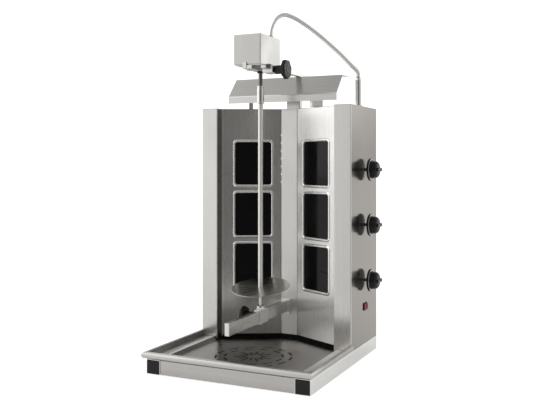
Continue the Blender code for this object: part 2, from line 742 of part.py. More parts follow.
def gear_motor():
    """Gearbox and motor in one block, with the socket that drives the shaft."""
    bottom = COVER_LOW[2]
    gearbox = box((-0.050, -0.098, bottom), (0.016, 0.012, bottom + 0.045))
    motor = add_part("gear_motor", gearbox, "motor_grey")
    fuse(motor, cylinder(0.030, (SPIT_X, -0.102, bottom + 0.050), (SPIT_X, 0.002, bottom + 0.050), 24))
    cut(motor, cylinder(0.0070, (SPIT_X, SPIT_Y, bottom - 0.01), (SPIT_X, SPIT_Y, bottom + 0.021), 24))


def shaft_bushing():
    profile = ((0.0090, 0.0027), (0.0090, -0.0108), (0.0105, -0.0108), (0.0105, -0.0145), (0.0068, -0.0145),
               (0.0068, 0.0027))
    turned("shaft_bushing", profile, "black_plastic", (SPIT_X, SPIT_Y, UPPER_ARM_Z[1]), steps=24, ring=True)


def drive_shaft():
    rod("drive_shaft", SHAFT_RADIUS, 0.8470, 0.9490, "dark_steel", (SPIT_X, SPIT_Y, 0))


def coupling_sleeve():
    bore, radius, bottom, top = SPIT_RADIUS + GAP, 0.0110, 0.8153, 0.8723
    profile = ((radius - 0.0006, top), (radius, top - 0.0006), (radius, bottom + 0.0006),
               (radius - 0.0006, bottom), (bore, bottom), (bore, top))
    turned("coupling_sleeve", profile, "bright_steel", (SPIT_X, SPIT_Y, 0), steps=24, ring=True)


def conduit_gland():
    profile = ((0.0085, 0.0060), (0.0100, 0.0044), (0.0100, GAP), (0.0062, GAP), (0.0062, -0.0080),
               (0.0045, -0.0080), (0.0045, 0.0060))
    turned("conduit_gland", profile, "bright_steel", (*CONDUIT_GLAND, COVER_HIGH[2]), steps=20, ring=True)


def conduit_post():
    foot = BODY_TOP + GAP
    profile = ((0.0080, 0.9085), (0.0080, 0.9030), (0.0098, 0.8960), (0.0098, foot), (0.0066, foot),
               (0.0066, 0.9085))
    turned("conduit_post", profile, "bright_steel", (*CONDUIT_POST, 0), steps=20, ring=True)


def smooth_route(points, per_span):
    """Points along a Catmull-Rom curve through the route."""
    places = [Vector(point) for point in points]
    ends = [2 * places[0] - places[1], *places, 2 * places[-1] - places[-2]]
    route = []
    for before, start, end, after in zip(ends, ends[1:], ends[2:], ends[3:]):
        for step in range(per_span):
            t = step / per_span
            square = 2 * before - 5 * start + 4 * end - after
            cube = 3 * start - before - 3 * end + after
            route.append(0.5 * (2 * start + (end - before) * t + square * t ** 2 + cube * t ** 3))
    return route + [places[-1]]


def conduit():
    curve = bpy.data.curves.new("conduit", "CURVE")
    curve.dimensions = "3D"
    curve.bevel_depth = CONDUIT_RADIUS
    curve.bevel_resolution = 2
    curve.use_fill_caps = True
    route = smooth_route(CONDUIT_ROUTE, 2)
    spline = curve.splines.new("POLY")
    spline.points.add(len(route) - 1)
    for point, place in zip(spline.points, route):
        point.co = (*place, 1)
    add_part("conduit", curve_mesh(curve), "bright_steel")


# Spit


def spit_rod():
    """The rod, with the neck that the sleeve rests on, the shoulder under the plate and the foot pin."""
    radius = SPIT_RADIUS
    profile = ((0, SPIT_TOP), (radius - 0.001, SPIT_TOP), (radius, SPIT_TOP - 0.001), (radius, 0.8150),
               (0.0085, 0.8150), (0.0085, 0.8000), (radius, 0.8000), (radius, 0.2310), (0.0110, 0.2310),
               (0.0110, 0.2230), (radius, 0.2230), (radius, 0.2085), (0.0040, 0.2070), (0.0040, 0.1735),
               (0, 0.1715))
    turned("spit_rod", profile, "bright_steel", (SPIT_X, SPIT_Y, 0), steps=24)


def meat_plate():
    """A round plate, loose on the rod, that leans on the shoulder with its front edge low."""
    radius, bore, half = PLATE_RADIUS, 0.0084, 0.0010
    profile = ((radius - 0.0006, half), (radius, half - 0.0006), (radius, -half), (bore, -half), (bore, half))
    plate = turned("meat_plate", profile, "steel", (SPIT_X, SPIT_Y, PLATE_Z), steps=48, ring=True)
    plate.rotation_euler = Euler((PLATE_TILT, 0, 0))


def bearing_cup():
    base = LOWER_ARM_Z[1] + 0.0036
    profile = ((0.0110, base + 0.0125), (0.0140, base + 0.0105), (0.0145, base), (0, base),
               (0, base + 0.0040), (0.0046, base + 0.0060), (0.0050, base + 0.0125))
    turned("bearing_cup", profile, "bright_steel", (SPIT_X, SPIT_Y, 0), steps=24, ring=True)


def lower_slider():
    """A sleeve round the lower arm, with a hole for the clamp screw on its left."""
    half, wall = ARM_THICKNESS / 2 + GAP, 0.0030
    low_z, high_z = LOWER_ARM_Z
    origin = (SPIT_X, SPIT_Y, high_z)
    outer = box((SPIT_X - half - wall, -0.046, low_z - GAP - wall),
                (SPIT_X + half + wall, 0.008, high_z + GAP + wall), origin)
    slider = add_part("lower_slider", outer, "bright_steel", origin)
    cut(slider, box((SPIT_X - half, -0.060, low_z - GAP), (SPIT_X + half, 0.020, high_z + GAP)))
    _, knob_y, knob_z = LOWER_KNOB
    cut(slider, cylinder(0.0043, (-0.040, knob_y, knob_z), (-0.020, knob_y, knob_z), 16))


def lower_arm():
    """A flat bar with the flange that fastens it to the column."""
    half = ARM_THICKNESS / 2
    low_z, high_z = LOWER_ARM_Z
    wall = COLUMN_FACE - GAP
    bar = box((SPIT_X - half, LOWER_ARM_FRONT, low_z), (SPIT_X + half, wall - 0.003, high_z))
    arm = add_part("lower_arm", bar, "bright_steel")
    fuse(arm, box((-0.0285, wall - 0.004, low_z - 0.007), (0.0050, wall, high_z + 0.007)))


def clamp_knob(name, origin, side, head_radius, hub_length, head_length, screw_length):
    """A lobed clamp knob with its hub and screw. side is the way along X that it points."""
    lobes = 7
    outline = []
    for i in range(lobes * 8):
        angle = 2 * math.pi * i / (lobes * 8)
        reach = head_radius * (0.955 + 0.045 * math.cos(lobes * angle))
        outline.append((reach * math.cos(angle), reach * math.sin(angle)))
    turn = Matrix.Rotation(math.radians(side * 90), 4, "Y")
    head = flat_shape((outline,), head_length, turn @ Matrix.Translation((0, 0, hub_length + head_length)))
    knob = add_part(name, head, "black_plastic", origin)
    hub_radius = head_radius * 0.45
    fuse(knob, cylinder(hub_radius, (0, 0, 0), (side * (hub_length + 0.004), 0, 0)), origin)
    fuse(knob, cylinder(0.0040, (-side * screw_length, 0, 0), (side * 0.003, 0, 0), 16), origin)


def build():
    side_rail(-1, "side_rail_left")
    side_rail(1, "side_rail_right")
    rail_cap(-1, "rail_cap_left")
    rail_cap(1, "rail_cap_right")
    base_floor()
    tray_frame()
    drip_pan()
    grease_drawer()
    side_panel(-1, "side_panel_left")
    right_side_panel()
    rear_cover()
    top_cover()
    body_floor()
    plinth()
    centre_column()
    for side, word in ((-1, "left"), (1, "right")):
        heat_panel(side, f"heat_panel_{word}")
        deflector_leg(side, f"deflector_leg_{word}")
        for number, top in enumerate(WINDOW_TOPS, 1):
            window_glass(side, f"window_glass_{word}_{number}", top)
            heating_element(side, f"heating_element_{word}_{number}", top)
    terminal_block()
    mains_gland()
    for number, z in enumerate(KNOB_ZS, 1):
        energy_regulator(number, z)
        control_knob(number, z)
    switch_housing()
    switch_rocker()
    deflector()
    arm_post()
    upper_arm()
    motor_carriage()
    motor_cover()
    gear_motor()
    shaft_bushing()
    drive_shaft()
    coupling_sleeve()
    conduit_gland()
    conduit_post()
    conduit()
    spit_rod()
    meat_plate()
    bearing_cup()
    lower_slider()
    lower_arm()
    clamp_knob("clamp_knob_upper", UPPER_KNOB, 1, 0.030, 0.0277, 0.0131, 0.0043)
    clamp_knob("clamp_knob_lower", LOWER_KNOB, -1, 0.0285, 0.0371, 0.0130, 0.0035)


clear_scene()
PARTS = new_collection("vertical_rotisserie_broiler")
HELPERS = new_collection("cutters_and_unions")
build()
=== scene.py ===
"""Looks of the vertical rotisserie broiler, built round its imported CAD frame.

Metres, +Z up, front towards -Y.
"""
import math

import bmesh
import bpy
from mathutils import Matrix, Vector


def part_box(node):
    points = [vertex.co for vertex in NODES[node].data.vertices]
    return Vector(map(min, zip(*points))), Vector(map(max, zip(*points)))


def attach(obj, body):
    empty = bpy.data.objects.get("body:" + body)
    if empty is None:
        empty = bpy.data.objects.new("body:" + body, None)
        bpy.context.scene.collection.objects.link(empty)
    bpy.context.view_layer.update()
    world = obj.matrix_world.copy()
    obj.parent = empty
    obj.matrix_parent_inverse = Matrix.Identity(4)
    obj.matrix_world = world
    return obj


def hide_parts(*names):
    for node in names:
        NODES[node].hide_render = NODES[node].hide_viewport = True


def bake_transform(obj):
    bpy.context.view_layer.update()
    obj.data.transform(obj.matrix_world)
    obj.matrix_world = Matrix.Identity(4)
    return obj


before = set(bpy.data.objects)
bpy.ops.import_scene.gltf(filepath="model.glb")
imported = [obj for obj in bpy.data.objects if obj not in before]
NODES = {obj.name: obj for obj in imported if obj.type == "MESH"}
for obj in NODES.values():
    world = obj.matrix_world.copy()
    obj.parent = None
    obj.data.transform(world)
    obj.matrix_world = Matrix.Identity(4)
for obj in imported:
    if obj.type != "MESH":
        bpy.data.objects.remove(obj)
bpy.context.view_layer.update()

CAMERA_PLACE = (1.0475, -2.1743, 0.6314)
CAMERA_TURN = math.radians(24.864)
CAMERA_LENS = 48.69
CAMERA_SHIFT = -0.0856
SENSOR_WIDTH = 36
PAPER = (0.93, 0.93, 0.925)
FLOOR_NEAR, FLOOR_FAR, FLOOR_HALF = 1.66, 40.0, 30.0
FLOOR_GLOW, FLOOR_CAMERA_GLOW = 0.25, 0.4
KEY_PLACE, KEY_AIM, KEY_SIZE, KEY_POWER = (-1.8, -1.4, 2.4), (0, 0, 0.5), (1.4, 1.4), 4
BACKDROP_LEVEL = 1.3
WORLD_COLOUR = (1.0, 0.995, 0.985, 1)
WORLD_BASE = 0.70
# Direction, dot product where the patch starts and where it is full, and what it adds to the light
WORLD_PATCHES = (
    ((0.46, -0.89, 0.0), 0.55, 0.97, -0.53),
    ((-0.97, -0.23, 0.15), 0.35, 0.95, 0.72),
    ((0.45, 0.87, 0.20), 0.972, 0.998, 1.2),
    ((0.0, 0.0, 1.0), 0.55, 1.0, -0.33),
)


# Camera, floor and light


def add_object(name, data):
    obj = bpy.data.objects.new(name, data)
    bpy.context.scene.collection.objects.link(obj)
    return obj


def make_camera():
    camera = add_object("camera", bpy.data.cameras.new("camera"))
    camera.location = CAMERA_PLACE
    camera.rotation_euler = (math.radians(90), 0, CAMERA_TURN)
    camera.data.lens = CAMERA_LENS
    camera.data.sensor_width = SENSOR_WIDTH
    camera.data.shift_y = CAMERA_SHIFT
    camera.data.clip_end = 100
    bpy.context.scene.camera = camera


def make_key_light():
    light = bpy.data.lights.new("key", "AREA")
    light.shape = "RECTANGLE"
    light.size, light.size_y = KEY_SIZE
    light.energy = KEY_POWER
    obj = add_object("key", light)
    obj.location = KEY_PLACE
    obj.rotation_euler = (Vector(KEY_AIM) - Vector(KEY_PLACE)).to_track_quat("-Z", "Y").to_euler()


def make_floor():
    """Pale paper from some way in front of the camera to far behind the machine."""
    bm = bmesh.new()
    corners = ((-FLOOR_HALF, FLOOR_NEAR, 0), (FLOOR_HALF, FLOOR_NEAR, 0), (FLOOR_HALF, FLOOR_FAR, 0),
               (-FLOOR_HALF, FLOOR_FAR, 0))
    bm.faces.new([bm.verts.new(corner) for corner in corners])
    mesh = bpy.data.meshes.new("floor")
    bm.to_mesh(mesh)
    bm.free()
    floor = add_object("floor", mesh)
    floor.location = (CAMERA_PLACE[0], CAMERA_PLACE[1], -0.0005)
    floor.rotation_euler.z = CAMERA_TURN
    material, tree, shader = new_material("floor_paper", PAPER, 0.85)
    tint(tree, shader, PAPER, 0.004, ranged(tree, noise(tree, (1, 1, 1), 3.0, 3.0), 0.0, 1.0))
    shader.inputs["Emission Color"].default_value = (1, 1, 1, 1)
    path = tree.nodes.new("ShaderNodeLightPath")
    seen = math_node(tree, "MULTIPLY", path.outputs["Is Camera Ray"], FLOOR_CAMERA_GLOW)
    glow = math_node(tree, "ADD", seen, FLOOR_GLOW)
    tree.links.new(glow, shader.inputs["Emission Strength"])
    mesh.materials.append(material)


def make_world():
    """A pale studio, brighter to the left and behind, darker in front and above.

    The camera itself sees plain white.
    """
    world = bpy.data.worlds.new("studio")
    bpy.context.scene.world = world
    world.use_nodes = True
    tree = world.node_tree
    nodes, links = tree.nodes, tree.links
    background = nodes["Background"]
    coordinates = nodes.new("ShaderNodeTexCoord")
    level = None
    for axis, start, end, amount in WORLD_PATCHES:
        dot = nodes.new("ShaderNodeVectorMath")
        dot.operation = "DOT_PRODUCT"
        links.new(coordinates.outputs["Generated"], dot.inputs[0])
        dot.inputs[1].default_value = Vector(axis).normalized()
        ramp = nodes.new("ShaderNodeMapRange")
        ramp.interpolation_type = "SMOOTHSTEP"
        links.new(dot.outputs["Value"], ramp.inputs["Value"])
        for key, value in (("From Min", start), ("From Max", end), ("To Min", 0.0), ("To Max", amount)):
            ramp.inputs[key].default_value = value
        add = nodes.new("ShaderNodeMath")
        add.operation = "ADD"
        links.new(ramp.outputs["Result"], add.inputs[0])
        if level is None:
            add.inputs[1].default_value = WORLD_BASE
        else:
            links.new(level, add.inputs[1])
        level = add.outputs["Value"]
    links.new(level, background.inputs["Strength"])
    background.inputs["Color"].default_value = WORLD_COLOUR
    white = nodes.new("ShaderNodeBackground")
    white.inputs["Color"].default_value = (1, 1, 1, 1)
    white.inputs["Strength"].default_value = BACKDROP_LEVEL
    path = nodes.new("ShaderNodeLightPath")
    mix = nodes.new("ShaderNodeMixShader")
    links.new(path.outputs["Is Camera Ray"], mix.inputs["Fac"])
    links.new(background.outputs["Background"], mix.inputs[1])
    links.new(white.outputs["Background"], mix.inputs[2])
    links.new(mix.outputs["Shader"], nodes["World Output"].inputs["Surface"])


# Materials


def new_material(name, colour, roughness, metallic=0.0):
    material = bpy.data.materials.new(name)
    material.use_nodes = True
    shader = material.node_tree.nodes["Principled BSDF"]
    shader.inputs["Base Color"].default_value = (*colour, 1)
    shader.inputs["Roughness"].default_value = roughness
    shader.inputs["Metallic"].default_value = metallic
    return material, material.node_tree, shader


def noise(tree, scale, detail=2.0, size=1.0):
    """A noise pattern in the object's own metres, stretched by scale along each axis."""
    coordinates = tree.nodes.new("ShaderNodeTexCoord")
    mapping = tree.nodes.new("ShaderNodeMapping")
    mapping.inputs["Scale"].default_value = scale
    tree.links.new(coordinates.outputs["Object"], mapping.inputs["Vector"])
    texture = tree.nodes.new("ShaderNodeTexNoise")
    texture.inputs["Scale"].default_value = size
    texture.inputs["Detail"].default_value = detail
    tree.links.new(mapping.outputs["Vector"], texture.inputs["Vector"])
    return texture.outputs["Fac"]


def ranged(tree, value, low, high, start=0.3, end=0.7):
    """A pattern's usual span mapped to low and high."""
    node = tree.nodes.new("ShaderNodeMapRange")
    tree.links.new(value, node.inputs["Value"])
    for key, number in (("From Min", start), ("From Max", end), ("To Min", low), ("To Max", high)):
        node.inputs[key].default_value = number
    return node.outputs["Result"]


def math_node(tree, operation, first, second):
    node = tree.nodes.new("ShaderNodeMath")
    node.operation = operation
    for socket, value in zip(node.inputs, (first, second)):
        if isinstance(value, (int, float)):
            socket.default_value = value
        else:
            tree.links.new(value, socket)
    return node.outputs["Value"]


def tint(tree, shader, colour, amount, factor):
    """Base colour that goes from darker to lighter by amount as factor goes from 0 to 1."""
    mix = tree.nodes.new("ShaderNodeMix")
    mix.data_type = "RGBA"
    tree.links.new(factor, mix.inputs["Factor"])
    mix.inputs["A"].default_value = (*(c * (1 - amount) for c in colour), 1)
    mix.inputs["B"].default_value = (*(min(1, c * (1 + amount)) for c in colour), 1)
    tree.links.new(mix.outputs["Result"], shader.inputs["Base Color"])


def add_bump(tree, shader, height, strength, distance):
    bump = tree.nodes.new("ShaderNodeBump")
    bump.inputs["Strength"].default_value = strength
    bump.inputs["Distance"].default_value = distance
    tree.links.new(height, bump.inputs["Height"])
    tree.links.new(bump.outputs["Normal"], shader.inputs["Normal"])


GRAINS = {"x": (6, 1500, 1500), "y": (1500, 6, 1500), "z": (1500, 1500, 6)}
BANDS = {"x": (1.5, 150, 150), "y": (150, 1.5, 150), "z": (150, 150, 1.5)}


def steel(name, colour=(0.62, 0.61, 0.595), roughness=0.28, grain="z", streak=0.04, bump=0.03):
    """Brushed stainless steel: fine scratches along the grain, soft bands, and faint handling marks."""
    material, tree, shader = new_material(name, colour, roughness, 1.0)
    scratches = noise(tree, GRAINS[grain], 3.0)
    bands = noise(tree, BANDS[grain], 2.0)
    marks = noise(tree, (1, 1, 1), 3.0, 9.0)
    both = math_node(tree, "ADD", ranged(tree, scratches, 0.0, 0.5), ranged(tree, bands, 0.0, 0.5))
    tint(tree, shader, colour, streak, both)
    rough = math_node(tree, "ADD", ranged(tree, scratches, roughness - 0.05, roughness + 0.05),
                      ranged(tree, marks, -0.03, 0.04))
    tree.links.new(rough, shader.inputs["Roughness"])
    shader.inputs["Anisotropic"].default_value = 0.5
    add_bump(tree, shader, scratches, bump, 0.0001)
    return material


def shade_upright_faces(material):
    """Painted shade on the upright faces of a sheet that lies flat, such as the walls of its slots: they turn
    near black so that the slots read as dark holes.
    """
    tree = material.node_tree
    shader = tree.nodes["Principled BSDF"]
    unshaded_colour = shader.inputs["Base Color"].links[0].from_socket
    geometry = tree.nodes.new("ShaderNodeNewGeometry")
    parts = tree.nodes.new("ShaderNodeSeparateXYZ")
    tree.links.new(geometry.outputs["True Normal"], parts.inputs["Vector"])
    flat = ranged(tree, math_node(tree, "ABSOLUTE", parts.outputs["Z"], 0), 0.0, 1.0, 0.2, 0.5)
    mix = tree.nodes.new("ShaderNodeMix")
    mix.data_type = "RGBA"
    tree.links.new(flat, mix.inputs["Factor"])
    # The near-black colour is painted shade for the shadowed slot walls.
    mix.inputs["A"].default_value = (0.01, 0.01, 0.01, 1)
    tree.links.new(unshaded_colour, mix.inputs["B"])
    tree.links.new(mix.outputs["Result"], shader.inputs["Base Color"])
    return material


def plastic(name, colour, roughness, bump=0.15, grain_size=1800.0):
    """Moulded plastic with a fine spark-eroded grain and slight uneven gloss."""
    material, tree, shader = new_material(name, colour, roughness)
    grain = noise(tree, (1, 1, 1), 2.0, grain_size)
    cloud = noise(tree, (1, 1, 1), 2.0, 40.0)
    tint(tree, shader, colour, 0.12, ranged(tree, cloud, 0.0, 1.0))
    tree.links.new(ranged(tree, cloud, roughness - 0.05, roughness + 0.08), shader.inputs["Roughness"])
    add_bump(tree, shader, grain, bump, 0.0001)
    return material


def dim_plastic(name, colour, roughness):
    """Plastic with a soft, weak shine."""
    material = plastic(name, colour, roughness)
    material.node_tree.nodes["Principled BSDF"].inputs["Specular IOR Level"].default_value = 0.3
    return material


def flat_shadow_black(name):
    """Flat black with hardly any shine: painted shade for the unlit gap under the heat panels."""
    material = plastic(name, (0.006, 0.006, 0.006), 0.55, 0.03, 300.0)
    material.node_tree.nodes["Principled BSDF"].inputs["Specular IOR Level"].default_value = 0.08
    return material


def glass(name):
    """Black glass-ceramic: polished, with a faint haze and a few dust marks."""
    material, tree, shader = new_material(name, (0.004, 0.004, 0.0042), 0.05)
    haze = noise(tree, (1, 1, 1), 4.0, 14.0)
    tint(tree, shader, (0.004, 0.004, 0.0042), 0.3, ranged(tree, haze, 0.0, 1.0))
    tree.links.new(ranged(tree, haze, 0.03, 0.10), shader.inputs["Roughness"])
    shader.inputs["IOR"].default_value = 1.5
    shader.inputs["Specular IOR Level"].default_value = 0.18
    return material


def dress(material, *names):
    for name in names:
        mesh = NODES[name].data
        mesh.materials.clear()
        mesh.materials.append(material)


SIDES = {"left": -1, "right": 1}
NUMBERS = (1, 2, 3)


def dress_frame():
    """Finishes of the CAD nodes, which show where no visible piece stands for them."""
    dress(steel("sheet_vertical"), "side_panel_left", "centre_column", "heat_panel_left", "heat_panel_right",
          "rear_cover", "arm_post", "deflector_leg_left", "deflector_leg_right")
    dress(steel("rail_sheet", (0.90, 0.90, 0.885), 0.36, "y"), "side_rail_left", "side_rail_right")
    dress(steel("side_sheet", (0.58, 0.565, 0.55), 0.30), "side_panel_right")
    dress(steel("rim_sheet", (0.66, 0.65, 0.63), 0.30, "x"), "tray_frame", "top_cover", "deflector",
          "grease_drawer", "base_floor", "body_floor")
    # The pan's slot walls get painted shade, near black.
    dress(shade_upright_faces(steel("pan_sheet", (0.37, 0.355, 0.34), 0.30, "x")), "drip_pan")
    dress(steel("polished_bar", (0.70, 0.69, 0.67), 0.20, "y", 0.03), "upper_arm", "lower_arm",
          "lower_slider", "motor_carriage")
    dress(steel("cover_sheet", (0.80, 0.79, 0.77), 0.33, "z", 0.03), "motor_cover")
    dress(steel("turned_steel", (0.78, 0.77, 0.74), 0.22, "z", 0.03), "spit_rod", "coupling_sleeve",
          "bearing_cup", "conduit_post", "conduit_gland", "conduit")
    dress(steel("dark_shaft", (0.20, 0.19, 0.18), 0.35), "drive_shaft")
    dress(steel("plate_steel", (0.42, 0.40, 0.375), 0.14, "x"), "meat_plate")
    dress(plastic("black_plastic", (0.022, 0.022, 0.022), 0.42), "rail_cap_left", "rail_cap_right",
          "switch_housing", "terminal_block", "mains_gland", "shaft_bushing", "clamp_knob_upper",
          "clamp_knob_lower",
          *(f"{word}_{n}" for word in ("energy_regulator", "control_knob") for n in NUMBERS))
    dress(plastic("red_plastic", (0.35, 0.015, 0.02), 0.25, 0.03), "switch_rocker")
    # The plinth is flat black as painted shade: it stands for the unlit gap under the heat panels.
    dress(flat_shadow_black("black_enamel"), "plinth")
    dress(glass("black_glass"), *(f"window_glass_{side}_{n}" for side in SIDES for n in NUMBERS))
    dress(plastic("ceramic_board", (0.72, 0.69, 0.62), 0.9, 0.5, 500.0),
          *(f"heating_element_{side}_{n}" for side in SIDES for n in NUMBERS))
    dress(plastic("motor_casting", (0.25, 0.26, 0.27), 0.5, 0.4, 700.0), "gear_motor")


# Shapes


def mesh_from(bm, name):
    bmesh.ops.recalc_face_normals(bm, faces=bm.faces)
    mesh = bpy.data.meshes.new(name)
    bm.to_mesh(mesh)
    bm.free()
    return mesh


def join(name, *meshes):
    bm = bmesh.new()
    for mesh in meshes:
        bm.from_mesh(mesh)
    return mesh_from(bm, name)


def piece(name, mesh, material, body, replaces=(), sharp=35.0):
    """A visible piece that rides on a body and may stand for CAD nodes."""
    mesh.materials.clear()
    mesh.materials.append(material)
    mesh.shade_smooth()
    mesh.set_sharp_from_angle(angle=math.radians(sharp))
    obj = add_object(name, mesh)
    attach(obj, body)
    if replaces:
        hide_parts(*replaces)
    weighted = obj.modifiers.new("flat faces stay flat", "WEIGHTED_NORMAL")
    weighted.keep_sharp = True
    return obj


def rounded_box(low, high, radius=0.0005, segments=2, open_side=None):
    """A box with rounded edges. open_side is the outward direction of a face that is left out."""
    bm = bmesh.new()
    bmesh.ops.create_cube(bm, size=1.0)
    low, high = Vector(low), Vector(high)
    bm.transform(Matrix.Translation((low + high) / 2) @ Matrix.Diagonal((*(high - low), 1.0)))
    if open_side:
        gone = [face for face in bm.faces if face.normal.dot(Vector(open_side)) > 0.9]
        bmesh.ops.delete(bm, geom=gone, context="FACES")
    edges = [edge for edge in bm.edges if len(edge.link_faces) == 2]
    bmesh.ops.bevel(bm, geom=edges, offset=radius, segments=segments, profile=0.5, affect="EDGES")
    return mesh_from(bm, "box")


def placed(place, direction):
    """The matrix that stands local z along direction at place."""
    turn = Vector((0, 0, 1)).rotation_difference(Vector(direction)).to_matrix().to_4x4()
    return Matrix.Translation(place) @ turn


def lathe(profile, place=(0, 0, 0), direction=(0, 0, 1), steps=64):
    """A body of revolution about an axis through place, from (radius, height) points."""
    bm = bmesh.new()
    verts = [bm.verts.new((radius, 0, height)) for radius, height in profile]
    edges = [bm.edges.new(pair) for pair in zip(verts, verts[1:])]
    bmesh.ops.spin(bm, geom=verts + edges, cent=(0, 0, 0), axis=(0, 0, 1), angle=2 * math.pi, steps=steps)
    bmesh.ops.remove_doubles(bm, verts=bm.verts, dist=0.000002)
    bm.transform(placed(place, direction))
    return mesh_from(bm, "turned")


def eased(profile, radius=0.0004, segments=3):
    """The same profile with each inner corner rounded."""
    points = [Vector((*point, 0)) if len(point) == 2 else Vector(point) for point in profile]
    out = [points[0]]
    for before, corner, after in zip(points, points[1:], points[2:]):
        back, ahead = before - corner, after - corner
        reach = min(radius, back.length * 0.49, ahead.length * 0.49)
        start, end = corner + back.normalized() * reach, corner + ahead.normalized() * reach
        for i in range(segments + 1):
            t = i / segments
            out.append(start * (1 - t) ** 2 + corner * 2 * t * (1 - t) + end * t * t)
    out.append(points[-1])
    return [(point.x, point.y) for point in out]


def rounded_rectangle(low, high, radius, segments=6):
    centres = ((high[0] - radius, high[1] - radius, 0), (low[0] + radius, high[1] - radius, 90),
               (low[0] + radius, low[1] + radius, 180), (high[0] - radius, low[1] + radius, 270))
    return [(x + radius * math.cos(math.radians(start + 90 * i / segments)),
             y + radius * math.sin(math.radians(start + 90 * i / segments)))
            for x, y, start in centres for i in range(segments + 1)]


def plate(outlines, thickness, matrix=Matrix.Identity(4), edge=0.0):
    """A flat plate with its front at local z 0. The first outline is its edge and the others are holes."""
    curve = bpy.data.curves.new("outline", "CURVE")
    curve.dimensions = "2D"
    curve.fill_mode = "BOTH"
    curve.extrude = thickness / 2 - edge
    curve.bevel_depth = edge
    curve.offset = -edge
    curve.bevel_resolution = 1
    for outline in outlines:
        spline = curve.splines.new("POLY")
        spline.points.add(len(outline) - 1)
        spline.use_cyclic_u = True
        for point, (x, y) in zip(spline.points, outline):
            point.co = (x, y, 0, 1)
    holder = add_object("holder", curve)
    mesh = bpy.data.meshes.new_from_object(holder.evaluated_get(bpy.context.evaluated_depsgraph_get()))
    bpy.data.objects.remove(holder, do_unlink=True)
    mesh.transform(matrix @ Matrix.Translation((0, 0, -thickness / 2)))
    bm = bmesh.new()
    bm.from_mesh(mesh)
    bmesh.ops.remove_doubles(bm, verts=bm.verts, dist=0.000005)
    return mesh_from(bm, "plate")


def folded(profile, low, high, axis, radius, thickness):
    """A folded sheet with round bends, thickness on the left of the profile's direction."""
    line = [Vector((x, y, 0)) for x, y in eased(profile, radius, 5)]
    normals = []
    for i, point in enumerate(line):
        before, after = line[max(i - 1, 0)], line[min(i + 1, len(line) - 1)]
        along = (after - before).normalized()
        normals.append(Vector((-along.y, along.x, 0)))
    inner = [point + normal * thickness for point, normal in zip(line, normals)]
    place = {"Z": lambda p, h: (p.x, p.y, h), "X": lambda p, h: (h, p.x, p.y)}[axis]
    bm = bmesh.new()
    levels = [[[bm.verts.new(place(point, height)) for point in side] for side in (line, inner)]
              for height in (low, high)]
    for i in range(len(line) - 1):
        for side in (0, 1):
            a, b = levels[0][side], levels[1][side]
            bm.faces.new((a[i], a[i + 1], b[i + 1], b[i]))
        for level in levels:
            bm.faces.new((level[0][i], level[0][i + 1], level[1][i + 1], level[1][i]))
    for i in (0, len(line) - 1):
        bm.faces.new((levels[0][0][i], levels[0][1][i], levels[1][1][i], levels[1][0][i]))
    return mesh_from(bm, "folded")


def tube(points, radius, sides=16, thickness=None):
    """A tube along a smooth route, with closed ends. radius may be a function of the distance along it."""
    bm = bmesh.new()
    route = [Vector(point) for point in points]
    rings, travelled, side = [], 0.0, Vector((1, 0, 0))
    for i, point in enumerate(route):
        along = (route[min(i + 1, len(route) - 1)] - route[max(i - 1, 0)]).normalized()
        side = (side - along * side.dot(along)).normalized()
        other = along.cross(side)
        travelled += (point - route[i - 1]).length if i else 0.0
        size = radius(travelled) if callable(radius) else radius
        rings.append([bm.verts.new(point + (side * math.cos(a) + other * math.sin(a)) * size)
                      for a in (2 * math.pi * k / sides for k in range(sides))])
    for first, second in zip(rings, rings[1:]):
        for k in range(sides):
            bm.faces.new((first[k], first[(k + 1) % sides], second[(k + 1) % sides], second[k]))
    bm.faces.new(rings[0])
    bm.faces.new(rings[-1])
    return mesh_from(bm, "tube")


def hexagon(radius, height, place, direction=(0, 0, 1)):
    """A bolt head or nut with chamfered corners."""
    body = plate([[(radius * math.cos(math.radians(60 * i)), radius * math.sin(math.radians(60 * i)))
                   for i in range(6)]], height, Matrix.Translation((0, 0, height)), edge=height * 0.12)
    body.transform(placed(place, direction))
    return body


def screw_head(place, direction, radius=0.0035, height=0.0018):
    """A domed screw head with a round recess in its middle."""
    angles = [math.radians(90 * i / 6) for i in range(7)]
    rows = [(radius * math.cos(angle), height * math.sin(angle)) for angle in angles]
    profile = [(0.0, height * 0.45), (radius * 0.35, height * 0.45), (radius * 0.35, height * 0.93),
               *[row for row in reversed(rows) if row[0] > radius * 0.37], (radius, -0.0002), (0.0, -0.0002)]
    return lathe(profile, place, direction, 24)


# Places, as in the CAD

HALF = 0.265
BODY_FRONT = 0.035
FLANGE_INNER = 0.208
LIP_WIDTH = 0.007
FOLD_REACH = 0.004
LEDGE_INNER = 0.2218
STRIP_FORWARD = 0.0048
STRIP_END = 0.2030
STRIP_LOW = 0.0372
STRIP_HIGH = 0.0498
DRAWER_RIM = 0.033
TRAY_EDGE = 0.275
TRAY_FRONT = -0.305
COLUMN_HALF = 0.030
COLUMN_FACE = 0.160
PANEL_ANGLE = math.radians(27.1)
SHEET = 0.0012
GAP = 0.0003
WINDOW_SPAN = (0.034, 0.155)
WINDOW_HEIGHT = 0.142
WINDOW_TOPS = (0.698, 0.526, 0.354)
KNOB_Y = 0.1753
KNOB_ZS = (0.607, 0.428, 0.249)
SWITCH = (HALF, 0.170, 0.164)
SWITCH_TILT = math.radians(9)
SPIT = (-0.017, -0.024)
SPIT_RADIUS = 0.0075
PLATE_Z = 0.2362
PLATE_RADIUS = 0.0932
PLATE_TILT = math.radians(10.7)
LEG_XS = {-1: -0.125, 1: 0.1145}
LEG_Y = 0.122
LEG_HALF = (0.007, 0.0225)
DEFLECTOR_BEND = 0.853
DEFLECTOR_CREST = 0.153
TOP_BACK = 0.290
UPPER_KNOB = (0.0566, -0.066, 0.915)
